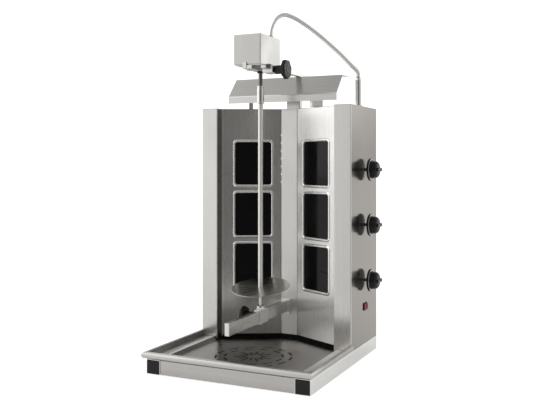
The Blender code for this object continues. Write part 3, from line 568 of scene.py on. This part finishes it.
LOWER_KNOB = (-0.0281, -0.030, 0.144)
LOWER_BAR_HALF = 0.0075
LOWER_BAR_LOW = 0.125
LOWER_BAR_HIGH = 0.163
GLAND_PLACE = (-0.200, 0.100)
CONDUIT_RADIUS = 0.007
RIB_PITCH = 0.0032
RIB_DEPTH = 0.008
CONDUIT_ROUTE = (
    (0.0120, -0.0100, 1.0313),
    (0.0145, -0.0082, 1.0540),
    (0.0225, -0.0022, 1.0770),
    (0.0345, 0.0066, 1.0930),
    (0.0500, 0.0180, 1.0990),
    (0.0680, 0.0312, 1.0935),
    (0.0890, 0.0466, 1.0805),
    (0.1150, 0.0657, 1.0600),
    (0.1420, 0.0855, 1.0355),
    (0.1690, 0.1053, 1.0085),
    (0.1960, 0.1251, 0.9800),
    (0.2210, 0.1434, 0.9505),
    (0.2400, 0.1573, 0.9285),
    (0.2449, 0.1609, 0.9170),
    (0.2450, 0.1610, 0.9103),
)


def panel_matrix(side):
    """Local x along the heat panel from its edge at the column, y up, z out of its front. side is 1 or -1."""
    along = Vector((math.cos(PANEL_ANGLE), -side * math.sin(PANEL_ANGLE), 0))
    up = Vector((0, 0, 1))
    matrix = Matrix((along, up, along.cross(up))).transposed().to_4x4()
    return Matrix.Translation((side * COLUMN_HALF, COLUMN_FACE, 0)) @ matrix


def panel_line(x, forward):
    """The y of a plane parallel to a heat panel and forward of its face, at a distance x from the middle."""
    return COLUMN_FACE - (x - COLUMN_HALF) * math.tan(PANEL_ANGLE) - forward / math.cos(PANEL_ANGLE)


def smooth_route(points, per_span):
    """Points along a Catmull-Rom curve through the route."""
    points = [Vector(point) for point in points]
    ends = [2 * points[0] - points[1], *points, 2 * points[-1] - points[-2]]
    route = []
    for before, start, end, after in zip(ends, ends[1:], ends[2:], ends[3:]):
        for step in range(per_span):
            t = step / per_span
            second = 2 * before - 5 * start + 4 * end - after
            third = 3 * start - before - 3 * end + after
            route.append(0.5 * (2 * start + (end - before) * t + second * t ** 2 + third * t ** 3))
    return route + [ends[-2]]


# Body


def body_pieces():
    """Side panels in strips that share one fold line each, heat panels, deflector brackets and the column."""
    lip = panel_line(FLANGE_INNER, 0.0015)
    lip_end = (FLANGE_INNER - LIP_WIDTH * math.cos(PANEL_ANGLE), lip + LIP_WIDTH * math.sin(PANEL_ANGLE))
    low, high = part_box("side_panel_right")
    for side, sign in SIDES.items():
        bend_end = (FLANGE_INNER, BODY_FRONT + FOLD_REACH)
        corner = (HALF, BODY_FRONT + FOLD_REACH)
        profiles = {
            "lip": [lip_end, (FLANGE_INNER, lip)],
            "return": [(FLANGE_INNER, lip), bend_end],
            "flange": [bend_end, (FLANGE_INNER, BODY_FRONT), (HALF, BODY_FRONT), corner],
            "sheet": [corner, (HALF, high.y)],
        }
        for word, profile in profiles.items():
            if sign < 0:
                profile = [(-x, y) for x, y in reversed(profile)]
            covers = (f"side_panel_{side}",) if word == "sheet" else ()
            # Each strip of the one folded sheet takes its own tone as painted light and shade, lighter or
            # darker as light falls on that face.
            material = M[word] if word in ("lip", "return") else M[f"{word}_{side}"]
            mesh = folded(profile, low.z, high.z, "Z", 0.0022, SHEET)
            piece(f"side_{word}_{side}", mesh, material, "frame", covers)
        heat_panel(side, sign)
        leg_low, leg_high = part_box(f"deflector_leg_{side}")
        mesh = rounded_box((-LEG_HALF[0], -LEG_HALF[1], leg_low.z), (*LEG_HALF, leg_high.z), 0.0012, 3)
        turn = Matrix.Rotation(-sign * PANEL_ANGLE, 4, "Z")
        mesh.transform(Matrix.Translation((LEG_XS[sign], LEG_Y, 0)) @ turn)
        piece(f"deflector_bracket_{side}", mesh, M["sheet"], "frame", (f"deflector_leg_{side}",))
    half, low, high = COLUMN_HALF - GAP, *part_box("centre_column")
    profile = [(-half, high.y), (-half, COLUMN_FACE), (half, COLUMN_FACE), (half, high.y)]
    mesh = folded(profile, low.z, high.z, "Z", 0.0018, SHEET)
    piece("column_channel", mesh, M["column"], "frame", ("centre_column",))


def heat_panel(side, sign):
    """The panel's sheet with a pressed, rounded rim round each window."""
    low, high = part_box(f"heat_panel_{side}")
    matrix = panel_matrix(sign)
    length = (FLANGE_INNER - GAP - COLUMN_HALF) / math.cos(PANEL_ANGLE)
    ends = sorted((sign * 0.0005, sign * length))
    x0, x1 = sorted(sign * x for x in WINDOW_SPAN)
    edge = [(ends[0], low.z), (ends[1], low.z), (ends[1], high.z), (ends[0], high.z)]
    rims, holes = [], []
    for top in WINDOW_TOPS:
        window = (x0, top - WINDOW_HEIGHT), (x1, top)
        holes.append(grown(*window, 0.0085))
        rims.append(pressed_rim(*window, matrix))
    mesh = plate((edge, *holes), 0.0014, matrix)
    # The two heat sheets are painted light and shade: one steel as a darker left copy and a lighter right
    # copy.
    piece(f"heat_sheet_{side}", mesh, M[f"heat_{side}"], "frame", (f"heat_panel_{side}",))
    # The rims take a brighter steel than the sheet they are pressed from, which is a painted highlight.
    piece(f"window_rims_{side}", join("rims", *rims), M["pressed"], "frame", sharp=50)


def grown(low, high, margin):
    """A window's outline moved outwards, with its corners rounded to suit."""
    return rounded_rectangle((low[0] - margin, low[1] - margin), (high[0] + margin, high[1] + margin),
                             0.007 + margin * 0.8)


def pressed_rim(low, high, matrix):
    """A rounded rim round a window, from (distance outwards, height over the sheet's face) rows."""
    rows = ((0.0100, -0.0003), (0.0098, 0.0001), (0.0092, 0.0006), (0.0080, 0.0014), (0.0067, 0.0022),
            (0.0055, 0.0028), (0.0042, 0.0030), (0.0030, 0.0028), (0.0018, 0.0021), (0.0008, 0.0011),
            (0.0, -0.0004), (0.0, -0.0016), (0.0100, -0.0016))
    bm = bmesh.new()
    rings = [[bm.verts.new((*point, height)) for point in grown(low, high, margin)]
             for margin, height in rows]
    count = len(rings[0])
    for first, second in zip(rings, rings[1:] + rings[:1]):
        for i in range(count):
            bm.faces.new((first[i], first[(i + 1) % count], second[(i + 1) % count], second[i]))
    bm.transform(matrix)
    return mesh_from(bm, "rim")


# Base


def base_pieces():
    tray_rim()
    rail_plugs()
    pan_edges()
    drawer()


def rail_plugs():
    """The black caps in the front ends of the rails, with three thin ribs each."""
    rib_pitch, rib_half, rib_margin = 0.0105, 0.0007, 0.005
    for side in SIDES:
        low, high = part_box(f"rail_cap_{side}")
        meshes = [rounded_box(low, high, 0.0012, 3)]
        for step in (-1, 0, 1):
            x = (low.x + high.x) / 2 + rib_pitch * step
            meshes.append(rounded_box((x - rib_half, low.y - 0.0004, low.z + rib_margin),
                                      (x + rib_half, low.y + 0.002, high.z - rib_margin), 0.0003, 1))
        plug = join("plug", *meshes)
        piece(f"rail_plug_{side}", plug, M["black"], "frame", (f"rail_cap_{side}",))


def pan_edges():
    """The pan's side hems, and a black strip along its back edge under the heat panels, which is painted
    shade for the unlit gap there.
    """
    low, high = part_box("drip_pan")
    for side, sign in SIDES.items():
        inner, outer = sorted((sign * (LEDGE_INNER - 0.0035), sign * (high.x - 0.0003)))
        hem = rounded_box((inner, low.y + 0.0040, high.z - 0.0002),
                          (outer, BODY_FRONT - 0.0028, high.z + 0.0005), 0.0003, 2)
        piece(f"pan_hem_{side}", hem, M["hem"], "pan")
    inner, middle = COLUMN_HALF - STRIP_FORWARD * math.tan(PANEL_ANGLE / 2), COLUMN_FACE - STRIP_FORWARD
    end_y = panel_line(STRIP_END, STRIP_FORWARD)
    profile = [(-STRIP_END, end_y), (-inner, middle), (inner, middle), (STRIP_END, end_y)]
    mesh = folded(profile, STRIP_LOW, STRIP_HIGH, "Z", 0.002, 0.0006)
    # The black strip is painted shade for the gap under the heat panels.
    piece("pan_back_strip", mesh, M["gap_shade"], "pan")


def drawer():
    """The grease drawer: its apron and an open tray behind it."""
    low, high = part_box("grease_drawer")
    apron, side_gap, wall = 0.0015, 0.0027, 0.001
    front = rounded_box(low, (high.x, low.y + apron, high.z), 0.0006, 2)
    piece("drawer_front", front, M["apron"], "drawer")
    left, near, floor = Vector((low.x + side_gap, low.y + 0.0016, low.z + 0.0002))
    right, far, rim = Vector((high.x - side_gap, high.y, DRAWER_RIM))
    meshes = [rounded_box((left, near, floor), (right, far, floor + wall), 0.0002, 1)]
    for start, end in (((left, near), (left + wall, far)), ((right - wall, near), (right, far)),
                       ((left, near), (right, near + wall)), ((left, far - wall), (right, far))):
        meshes.append(rounded_box((*start, floor), (*end, rim), 0.0002, 1))
    piece("drawer_tray", join("tray", *meshes), M["drawer"], "drawer", ("grease_drawer",))


def tray_rim():
    """The rolled rim: a full bullnose that drops to the ledge inside and to a skirt below.

    Rows go from the skirt over the nose to the ledge: height, inset at the sides, inset at the front.
    """
    back = BODY_FRONT - GAP
    nose_inset, nose_height, across, tall = 0.0100, 0.0570, 0.0100, 0.0103
    rows = [(0.0445, 0.0120, 0.0160)]
    for i in range(17):
        angle = math.radians(-75 + 195 * i / 16)
        inset, height = nose_inset - across * math.cos(angle), nose_height + tall * math.sin(angle)
        rows.append((height, inset, inset))
    for height, inset in ((0.0646, 0.0157), (0.0500, 0.0159), (0.0482, 0.0162), (0.0472, 0.0172)):
        rows.append((height, inset, inset))
    rows.append((0.0468, TRAY_EDGE - LEDGE_INNER, 0.0200))
    bm = bmesh.new()
    lines = []
    for height, side, front in rows:
        x, y = TRAY_EDGE - side, TRAY_FRONT + front
        lines.append([bm.verts.new((*point, height)) for point in ((-x, back), (-x, y), (x, y), (x, back))])
    for lower, upper in zip(lines, lines[1:]):
        for i in range(3):
            bm.faces.new((lower[i], lower[i + 1], upper[i + 1], upper[i]))
    mesh = bpy.data.meshes.new("rim")
    bm.to_mesh(mesh)
    bm.free()
    rim = piece("tray_rim", mesh, M["rim"], "frame", ("tray_frame",), sharp=50)
    solidify = rim.modifiers.new("sheet", "SOLIDIFY")
    solidify.thickness = 0.0011
    solidify.offset = -1
    solidify.use_even_offset = True


# Controls


def knobs():
    """The control knobs: skirt and dome with a grip bar, chrome ring, stem and pointer line.

    Each profile is (radius, distance from the side panel).
    """
    bar_half_length, bar_half_width, line_half_width = 0.0215, 0.0058, 0.0006
    for number, z in zip(NUMBERS, KNOB_ZS):
        place, body = (HALF, KNOB_Y, z), f"knob_{number}"
        skirt = [(0.0, 0.0138), (0.0350, 0.0138), (0.0360, 0.0148), (0.0360, 0.0205), (0.0350, 0.0214),
                 (0.0284, 0.0214), (0.0278, 0.0222), (0.0274, 0.0330), (0.0258, 0.0392), (0.0215, 0.0435),
                 (0.0150, 0.0451), (0.0, 0.0454)]
        dome = lathe(eased(skirt, 0.0011, 4), place, (1, 0, 0), 72)
        bar = rounded_box((HALF + 0.032, KNOB_Y - bar_half_length, z - bar_half_width),
                          (HALF + 0.0504, KNOB_Y + bar_half_length, z + bar_half_width), 0.0028, 4)
        piece(f"knob_body_{number}", join("knob", dome, bar), M["knob"], body,
              (f"control_knob_{number}",))
        ring = [(0.0300, 0.0210), (0.0300, 0.0220), (0.0345, 0.0220), (0.0353, 0.0214), (0.0353, 0.0208)]
        piece(f"knob_ring_{number}", lathe(ring, place, (1, 0, 0), 72), M["chrome"], body)
        stem = [(0.0, 0.0034), (0.0046, 0.0034), (0.0046, 0.0140), (0.0, 0.0140)]
        piece(f"knob_stem_{number}", lathe(stem, place, (1, 0, 0), 32), M["turned"], body)
        line = rounded_box((HALF + 0.0501, KNOB_Y - 0.0180, z - line_half_width),
                           (HALF + 0.0505, KNOB_Y - 0.006, z + line_half_width), 0.0001, 1)
        piece(f"knob_line_{number}", line, M["white"], body)


def switch():
    """The rocker switch: bezel, well and back on the frame, and the red cap that tips in them."""
    x, y, z = SWITCH
    well_half_length, well_half_height = 0.0137, 0.0097
    bezel = rounded_rectangle((-0.0160, -0.0120), (0.0160, 0.0120), 0.0018, 4)
    mouth = rounded_rectangle((-0.0125, -0.0085), (0.0125, 0.0085), 0.0008, 3)
    inside = rounded_rectangle((-well_half_length, -well_half_height), (well_half_length, well_half_height),
                               0.001, 3)
    upright = Matrix.Translation((x + 0.0028, y, z)) @ Matrix(((0, 0, 1), (1, 0, 0), (0, 1, 0))).to_4x4()
    frame_mesh = plate((bezel, mouth), 0.0025, upright, 0.0006)
    well = plate((inside, mouth), 0.020, Matrix.Translation((-0.0026, 0, 0)) @ upright)
    back = rounded_box((x - 0.0200, y - well_half_length, z - well_half_height),
                       (x - 0.0180, y + well_half_length, z + well_half_height), 0.0004, 1)
    piece("switch_bezel", join("bezel", frame_mesh, well, back), M["black"], "frame",
          ("switch_housing",))
    outline = [(-0.0035, -0.0060), (0.0030, -0.0113), (0.0092, -0.0110), (0.0073, -0.0045), (0.0062, 0.0),
               (0.0073, 0.0045), (0.0092, 0.0110), (0.0030, 0.0113), (-0.0035, 0.0060)]
    spin = Matrix.Translation((x - 0.004, y, z)) @ Matrix.Rotation(-SWITCH_TILT, 4, "Z")
    rocker = plate((outline,), 0.0162, spin @ Matrix.Translation((0, 0, 0.0081)), 0.0007)
    piece("rocker_cap", rocker, M["red"], "rocker", ("switch_rocker",), sharp=50)


def clamp_knob(name, place, side, head, hub, length, screw, body, node):
    """A lobed clamp knob: rounded head, tapered hub and steel screw.

    side is the way along X that it points, head its radius, hub and length the heights of the hub and the
    head, and screw how far the screw reaches in.
    """
    lobes, steps, depth = 7, 98, 0.045
    outline = []
    for i in range(steps):
        angle = 2 * math.pi * i / steps
        reach = head * (1 - depth + depth * math.cos(lobes * angle))
        outline.append((reach * math.cos(angle), reach * math.sin(angle)))
    turn = Matrix.Translation(place) @ Matrix.Rotation(math.radians(side * 90), 4, "Y")
    disc = plate((outline,), length, turn @ Matrix.Translation((0, 0, hub + length)), 0.0026)
    cone = [(0.0, 0.0003), (head * 0.45, 0.0003), (head * 0.45, hub * 0.8), (head * 0.55, hub + 0.001),
            (0.0, hub + 0.001)]
    end = hub + length
    dish = [(0.0, end - 0.001), (head * 0.42, end - 0.001), (head * 0.42, end + 0.0004),
            (head * 0.36, end + 0.0006), (0.0, end + 0.0004)]
    meshes = [lathe(eased(rows, 0.0012, 4), place, (side, 0, 0), 48) for rows in (cone, dish)]
    piece(f"{name}_grip", join("grip", disc, *meshes), M["knob"], body, (node,), sharp=45)
    rod = [(0.0, -screw), (0.0035, -screw), (0.0040, -screw + 0.0005), (0.0040, 0.002), (0.0, 0.002)]
    piece(f"{name}_screw", lathe(rod, place, (side, 0, 0), 24), M["turned"], body)


# Top and spit


def through_box(low, high, hole_low, hole_high, edge):
    """A block with a rectangular hole along Y."""
    outer = rounded_rectangle((low[0], low[2]), (high[0], high[2]), edge * 1.5, 3)
    hole = rounded_rectangle((hole_low[0], hole_low[2]), (hole_high[0], hole_high[2]), 0.0006, 2)
    upright = Matrix.Translation((0, low[1], 0)) @ Matrix.Rotation(math.radians(90), 4, "X")
    return plate((outer, hole), high[1] - low[1], upright, edge * 0.6)


def top_pieces():
    valley = panel_line(FLANGE_INNER, 0)
    plan = [(-HALF, BODY_FRONT), (-FLANGE_INNER, BODY_FRONT), (-FLANGE_INNER, valley),
            (-COLUMN_HALF, COLUMN_FACE), (COLUMN_HALF, COLUMN_FACE), (FLANGE_INNER, valley),
            (FLANGE_INNER, BODY_FRONT), (HALF, BODY_FRONT), (HALF, TOP_BACK), (-HALF, TOP_BACK)]
    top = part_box("top_cover")[1].z
    mesh = plate((plan,), SHEET, Matrix.Translation((0, 0, top)), 0.0004)
    piece("top_sheet", mesh, M["top"], "frame", ("top_cover",))
    low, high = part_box("arm_post")
    profile = [(low.x, high.y), (low.x, low.y), (high.x, low.y), (high.x, high.y)]
    mesh = folded(profile, low.z, high.z, "Z", 0.004, 0.003)
    piece("arm_bracket", mesh, M["sheet"], "frame", ("arm_post",))
    low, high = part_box("upper_arm")
    piece("upper_bar", rounded_box(low, high, 0.0010, 3), M["bar"], "frame", ("upper_arm",))
    deflector()
    carriage()
    cover()
    shafts()
    lower_arm()
    conduit()


def deflector():
    """The heat deflector: rear flange, slope and front lip, folded from one sheet."""
    low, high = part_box("deflector")
    profile = [(high.y, high.z), (DEFLECTOR_CREST, high.z), (low.y, DEFLECTOR_BEND), (low.y, low.z)]
    mesh = folded(profile, low.x, high.x, "X", 0.003, SHEET)
    piece("heat_deflector", mesh, M["deflector"], "frame", ("deflector",), sharp=25)


def carriage():
    """The motor carriage: plate, saddle round the arm, hanger block, its tab and a bolt."""
    low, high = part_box("motor_carriage")
    arm_low, arm_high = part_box("upper_arm")
    slack = Vector((GAP, 0, GAP))
    plate_z, hanger_z = arm_high.z + 0.0006, arm_high.z - 0.0105
    saddle_low, saddle_high = (arm_low.x - 0.0043, -0.090, low.z), (high.x, -0.042, plate_z + 0.0006)
    meshes = [
        rounded_box((low.x, -0.112, plate_z), (high.x, high.y, plate_z + 0.0024), 0.0006, 2),
        through_box(saddle_low, saddle_high, arm_low - slack, arm_high + slack, 0.0016),
        rounded_box((-0.033, -0.116, hanger_z), (-0.001, -0.005, plate_z + 0.0004), 0.0012, 3),
        rounded_box((-0.0325, low.y, hanger_z), (-0.0190, low.y + 0.003, high.z), 0.0009, 3),
        hexagon(0.0055, 0.0030, (-0.026, -0.092, hanger_z - 0.0030)),
    ]
    bracket = join("carriage", *meshes)
    piece("carriage_bracket", bracket, M["bar"], "carriage", ("motor_carriage",))


def cover():
    """The motor's box with a raised front sheet, and the nut where the conduit leaves it."""
    low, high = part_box("motor_cover")
    box = rounded_box(low, high, 0.0016, 4)
    outline = rounded_rectangle((low.x + 0.0035, low.z + 0.0015), (high.x - 0.0035, high.z - 0.0035),
                                0.001, 2)
    upright = Matrix.Translation((0, low.y - 0.0004, 0)) @ Matrix.Rotation(math.radians(90), 4, "X")
    front = plate((outline,), 0.0012, upright, 0.0004)
    piece("motor_box", join("cover", box, front), M["cover"], "carriage", ("motor_cover",))
    x, y, z = CONDUIT_ROUTE[0]
    nut = hexagon(0.0112, 0.0035, (x, y, high.z + GAP))
    dome = [(0.0072, 0.0030), (0.0098, 0.0030), (0.0096, 0.0046), (0.0084, 0.0064), (0.0072, 0.0064)]
    gland = join("nut", nut, lathe(eased(dome), (x, y, high.z), steps=32))
    piece("conduit_nut", gland, M["turned"], "carriage", ("conduit_gland",))


def shafts():
    """What turns on the spit's axis, from (radius, height) rows in the machine's own heights."""
    x, y = SPIT
    radius = SPIT_RADIUS
    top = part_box("spit_rod")[1].z
    rod = [(0.0, top), (radius - 0.0012, top), (radius, top - 0.0016), (radius, 0.8150), (0.0085, 0.8149),
           (0.0085, 0.8000), (radius, 0.7990), (radius, 0.2310), (0.0110, 0.2309), (0.0110, 0.2230),
           (radius, 0.2229), (radius, 0.2085), (0.0040, 0.2070), (0.0040, 0.1735), (0.0, 0.1715)]
    piece("spit_bar", lathe(eased(rod, 0.0006), (x, y, 0)), M["spit"], "spit", ("spit_rod",))
    low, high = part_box("drive_shaft")
    rod = [(0.0, high.z), (0.0065, high.z), (0.0065, low.z), (0.0, low.z)]
    mesh = lathe(eased(rod, 0.0008), (x, y, 0), steps=48)
    piece("motor_shaft", mesh, M["dark"], "spit", ("drive_shaft",))
    low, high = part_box("coupling_sleeve")
    rows = [(0.0078, high.z), (0.0108, high.z), (0.0110, high.z - 0.003), (0.0106, high.z - 0.0036),
            (0.0106, high.z - 0.009), (0.0110, high.z - 0.0096), (0.0110, low.z + 0.006),
            (0.0106, low.z + 0.0054), (0.0110, low.z + 0.0048), (0.0110, low.z), (0.0078, low.z),
            (0.0078, high.z)]
    mesh = lathe(eased(rows, 0.0005), (x, y, 0))
    piece("lifting_sleeve", mesh, M["sleeve"], "sleeve", ("coupling_sleeve",))
    low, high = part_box("shaft_bushing")
    rows = [(0.0068, high.z), (0.0090, high.z), (0.0090, low.z + 0.0037), (0.0105, low.z + 0.0037),
            (0.0105, low.z), (0.0068, low.z), (0.0068, high.z)]
    mesh = lathe(eased(rows), (x, y, 0), steps=48)
    piece("shaft_collar", mesh, M["black"], "carriage", ("shaft_bushing",))
    low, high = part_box("bearing_cup")
    rows = [(0.0050, high.z), (0.0108, high.z), (0.0138, high.z - 0.0022), (0.0138, low.z + 0.0045),
            (0.0, low.z + 0.0045), (0.0, low.z + 0.0050), (0.0046, low.z + 0.0060), (0.0050, high.z)]
    cup = lathe(eased(rows, 0.0006), (x, y, 0))
    bearing = join("bearing", cup, hexagon(0.0155, 0.0044, (x, y, low.z)))
    piece("spit_bearing", bearing, M["turned"], "slider", ("bearing_cup",))
    half = 0.0010
    rows = [(0.0084, half), (PLATE_RADIUS - 0.0008, half), (PLATE_RADIUS, 0.0),
            (PLATE_RADIUS - 0.0008, -half), (0.0084, -half), (0.0084, half)]
    disc = lathe(eased(rows, 0.0006, 4), steps=128)
    disc.transform(Matrix.Translation((x, y, PLATE_Z)) @ Matrix.Rotation(PLATE_TILT, 4, "X"))
    piece("gyros_plate", disc, M["plate"], "spit", ("meat_plate",), sharp=50)


def lower_arm():
    """The slider under the spit, the bar that it slides on, and the bar's foot on the column."""
    x, y = SPIT
    low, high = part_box("lower_slider")
    arm_low, arm_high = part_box("lower_arm")
    hole_low = (x - LOWER_BAR_HALF - GAP, 0, LOWER_BAR_LOW - GAP)
    hole_high = (x + LOWER_BAR_HALF + GAP, 0, LOWER_BAR_HIGH + GAP)
    meshes = [through_box(low, high, hole_low, hole_high, 0.0010),
              hexagon(0.0060, 0.0035, (x, y - 0.004, low.z - 0.0035)),
              hexagon(0.0075, 0.0030, (low.x, LOWER_KNOB[1], LOWER_KNOB[2]), (-1, 0, 0))]
    piece("slider_block", join("slider", *meshes), M["block"], "slider", ("lower_slider",))
    wall = arm_high.y
    bar = rounded_box((x - LOWER_BAR_HALF, arm_low.y, LOWER_BAR_LOW),
                      (x + LOWER_BAR_HALF, wall - 0.003, LOWER_BAR_HIGH), 0.0012, 3)
    piece("lower_bar", bar, M["lower_bar"], "frame", ("lower_arm",))
    foot = rounded_box((arm_low.x, wall - 0.004, arm_low.z), (arm_high.x, wall, arm_high.z), 0.0010, 2)
    # The foot's steel is brighter than the bar's, which is a painted highlight where the bar meets the
    # column.
    piece("bar_foot", foot, M["foot"], "frame")


def conduit():
    """The flexible conduit from the motor box to its post, ribbed along its length."""
    route = smooth_route(CONDUIT_ROUTE, 40)

    def ribbed(along):
        return CONDUIT_RADIUS * (1 - RIB_DEPTH + RIB_DEPTH * math.cos(2 * math.pi * along / RIB_PITCH))

    mesh = tube(route, ribbed, 20)
    mesh.materials.append(M["conduit"])
    mesh.shade_smooth()
    obj = add_object("motor_conduit", mesh)
    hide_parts("conduit")
    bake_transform(obj)
    x, y = CONDUIT_ROUTE[-1][:2]
    low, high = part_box("conduit_post")
    rows = [(0.0072, high.z), (0.0080, high.z), (0.0081, 0.9030), (0.0098, 0.8960), (0.0098, low.z),
            (0.0072, low.z)]
    post = join("post", lathe(eased(rows, 0.0008), (x, y, 0), steps=48),
                hexagon(0.0140, 0.0035, (x, y, low.z)))
    piece("post_tube", post, M["turned"], "frame", ("conduit_post",))


def rear_pieces():
    """Screws round the rear cover, and the mains gland with its nut."""
    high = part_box("rear_cover")[1]
    places = [(x, high.y, z) for x in (-0.250, 0.250) for z in (0.060, 0.290, 0.520, 0.750)]
    places += [(x, high.y, z) for x in (-0.090, 0.090) for z in (0.022, 0.792)]
    for number, place in enumerate(places, 1):
        piece(f"rear_screw_{number}", screw_head(place, (0, 1, 0)), M["turned"], "frame")
    x, z = GLAND_PLACE
    rows = [(0.0045, 0.0220), (0.0078, 0.0220), (0.0098, 0.0165), (0.0104, 0.0080), (0.0104, 0.0050),
            (0.0080, 0.0050), (0.0080, -0.0120), (0.0045, -0.0120), (0.0045, 0.0220)]
    gland = join("gland", lathe(eased(rows), (x, high.y, z), (0, 1, 0), 40),
                 hexagon(0.0135, 0.0055, (x, high.y + GAP, z), (0, 1, 0)))
    piece("cable_gland", gland, M["black"], "frame", ("mains_gland",))


def make_materials():
    """Every finish that the pieces use."""
    return {
        "sheet": steel("sheet_vertical"),
        # The side and flange steels are lit and shaded copies of one sheet: painted light and shade, with
        # each side and each face given its own tone.
        "sheet_left": steel("side_sheet_left", (0.50, 0.49, 0.475), 0.20),
        "sheet_right": steel("side_sheet_right", (0.335, 0.315, 0.29), 0.14),
        "flange_left": steel("flange_sheet_left", (0.64, 0.63, 0.615), 0.26),
        "flange_right": steel("flange_sheet_right", (0.70, 0.685, 0.665), 0.24),
        "hem": steel("pan_hem", (0.84, 0.83, 0.815), 0.34, "y"),
        # Painted light and shade: the left and right heat sheets are darker and lighter copies of one steel.
        "heat_left": steel("heat_sheet_left", (0.66, 0.645, 0.62), 0.30),
        "heat_right": steel("heat_sheet_right", (0.88, 0.87, 0.855), 0.30),
        "column": steel("column_sheet", (0.74, 0.725, 0.705), 0.38),
        "rim": steel("rim_sheet", (0.58, 0.57, 0.555), 0.28, "x"),
        "apron": steel("apron_sheet", (0.53, 0.515, 0.50), 0.30, "x"),
        "drawer": steel("drawer_sheet", (0.07, 0.068, 0.066), 0.45, "x"),
        "top": steel("top_sheet", (0.60, 0.59, 0.575), 0.30, "x"),
        "deflector": steel("deflector_sheet", (0.61, 0.60, 0.58), 0.22, "x"),
        "cover": steel("cover_sheet", (0.54, 0.535, 0.52), 0.26, "z", 0.03),
        "bar": steel("polished_bar", (0.66, 0.655, 0.64), 0.22, "y", 0.03),
        "lower_bar": steel("lower_bar", (0.78, 0.78, 0.75), 0.26, "y", 0.04),
        "block": steel("slider_steel", (0.88, 0.92, 0.89), 0.36, "z", 0.03),
        # Painted highlight: brighter than the bar it belongs to.
        "foot": steel("bar_foot", (0.95, 0.93, 0.89), 0.40, "z", 0.03),
        # Painted shade and light: the return is dark as the shaded fold beside the heat panel, and the lip is
        # a lighter copy of the same sheet.
        "return": steel("return_painted_shade", (0.17, 0.167, 0.16), 0.30),
        "lip": steel("lip_sheet", (0.76, 0.745, 0.72), 0.30),
        # Painted highlight: brighter than the heat sheets that the rims are pressed from.
        "pressed": steel("pressed_rim", (0.90, 0.89, 0.875), 0.22, "z", 0.03),
        "turned": steel("turned_steel", (0.72, 0.71, 0.69), 0.20, "z", 0.03),
        "spit": steel("spit_steel", (0.88, 0.86, 0.82), 0.44, "z", 0.03),
        "sleeve": steel("sleeve_steel", (0.72, 0.72, 0.71), 0.14, "z", 0.03),
        "dark": steel("dark_shaft", (0.20, 0.19, 0.18), 0.35),
        "plate": steel("plate_steel", (0.54, 0.52, 0.48), 0.24, "x", 0.03),
        "conduit": steel("conduit_steel", (0.97, 0.97, 0.95), 0.42, "z", 0.02),
        "chrome": steel("chrome_ring", (0.42, 0.42, 0.41), 0.16, "z", 0.02),
        "black": dim_plastic("black_plastic", (0.010, 0.010, 0.010), 0.45),
        "knob": dim_plastic("knob_plastic", (0.009, 0.009, 0.009), 0.30),
        "white": plastic("white_ink", (0.65, 0.65, 0.63), 0.5, 0.02),
        # Painted shade for the unlit gap under the heat panels.
        "gap_shade": flat_shadow_black("strip_shadow_black"),
        "red": plastic("red_plastic", (0.30, 0.012, 0.018), 0.25, 0.03),
    }


M = make_materials()


make_camera()
make_world()
make_floor()
make_key_light()
bpy.context.scene.view_settings.view_transform = "Standard"
dress_frame()
body_pieces()
base_pieces()
knobs()
switch()
clamp_knob("upper_clamp", UPPER_KNOB, 1, 0.030, 0.0277, 0.0131, 0.0043, "upper_clamp", "clamp_knob_upper")
clamp_knob("lower_clamp", LOWER_KNOB, -1, 0.0285, 0.0371, 0.0130, 0.0035, "lower_clamp", "clamp_knob_lower")
top_pieces()
rear_pieces()
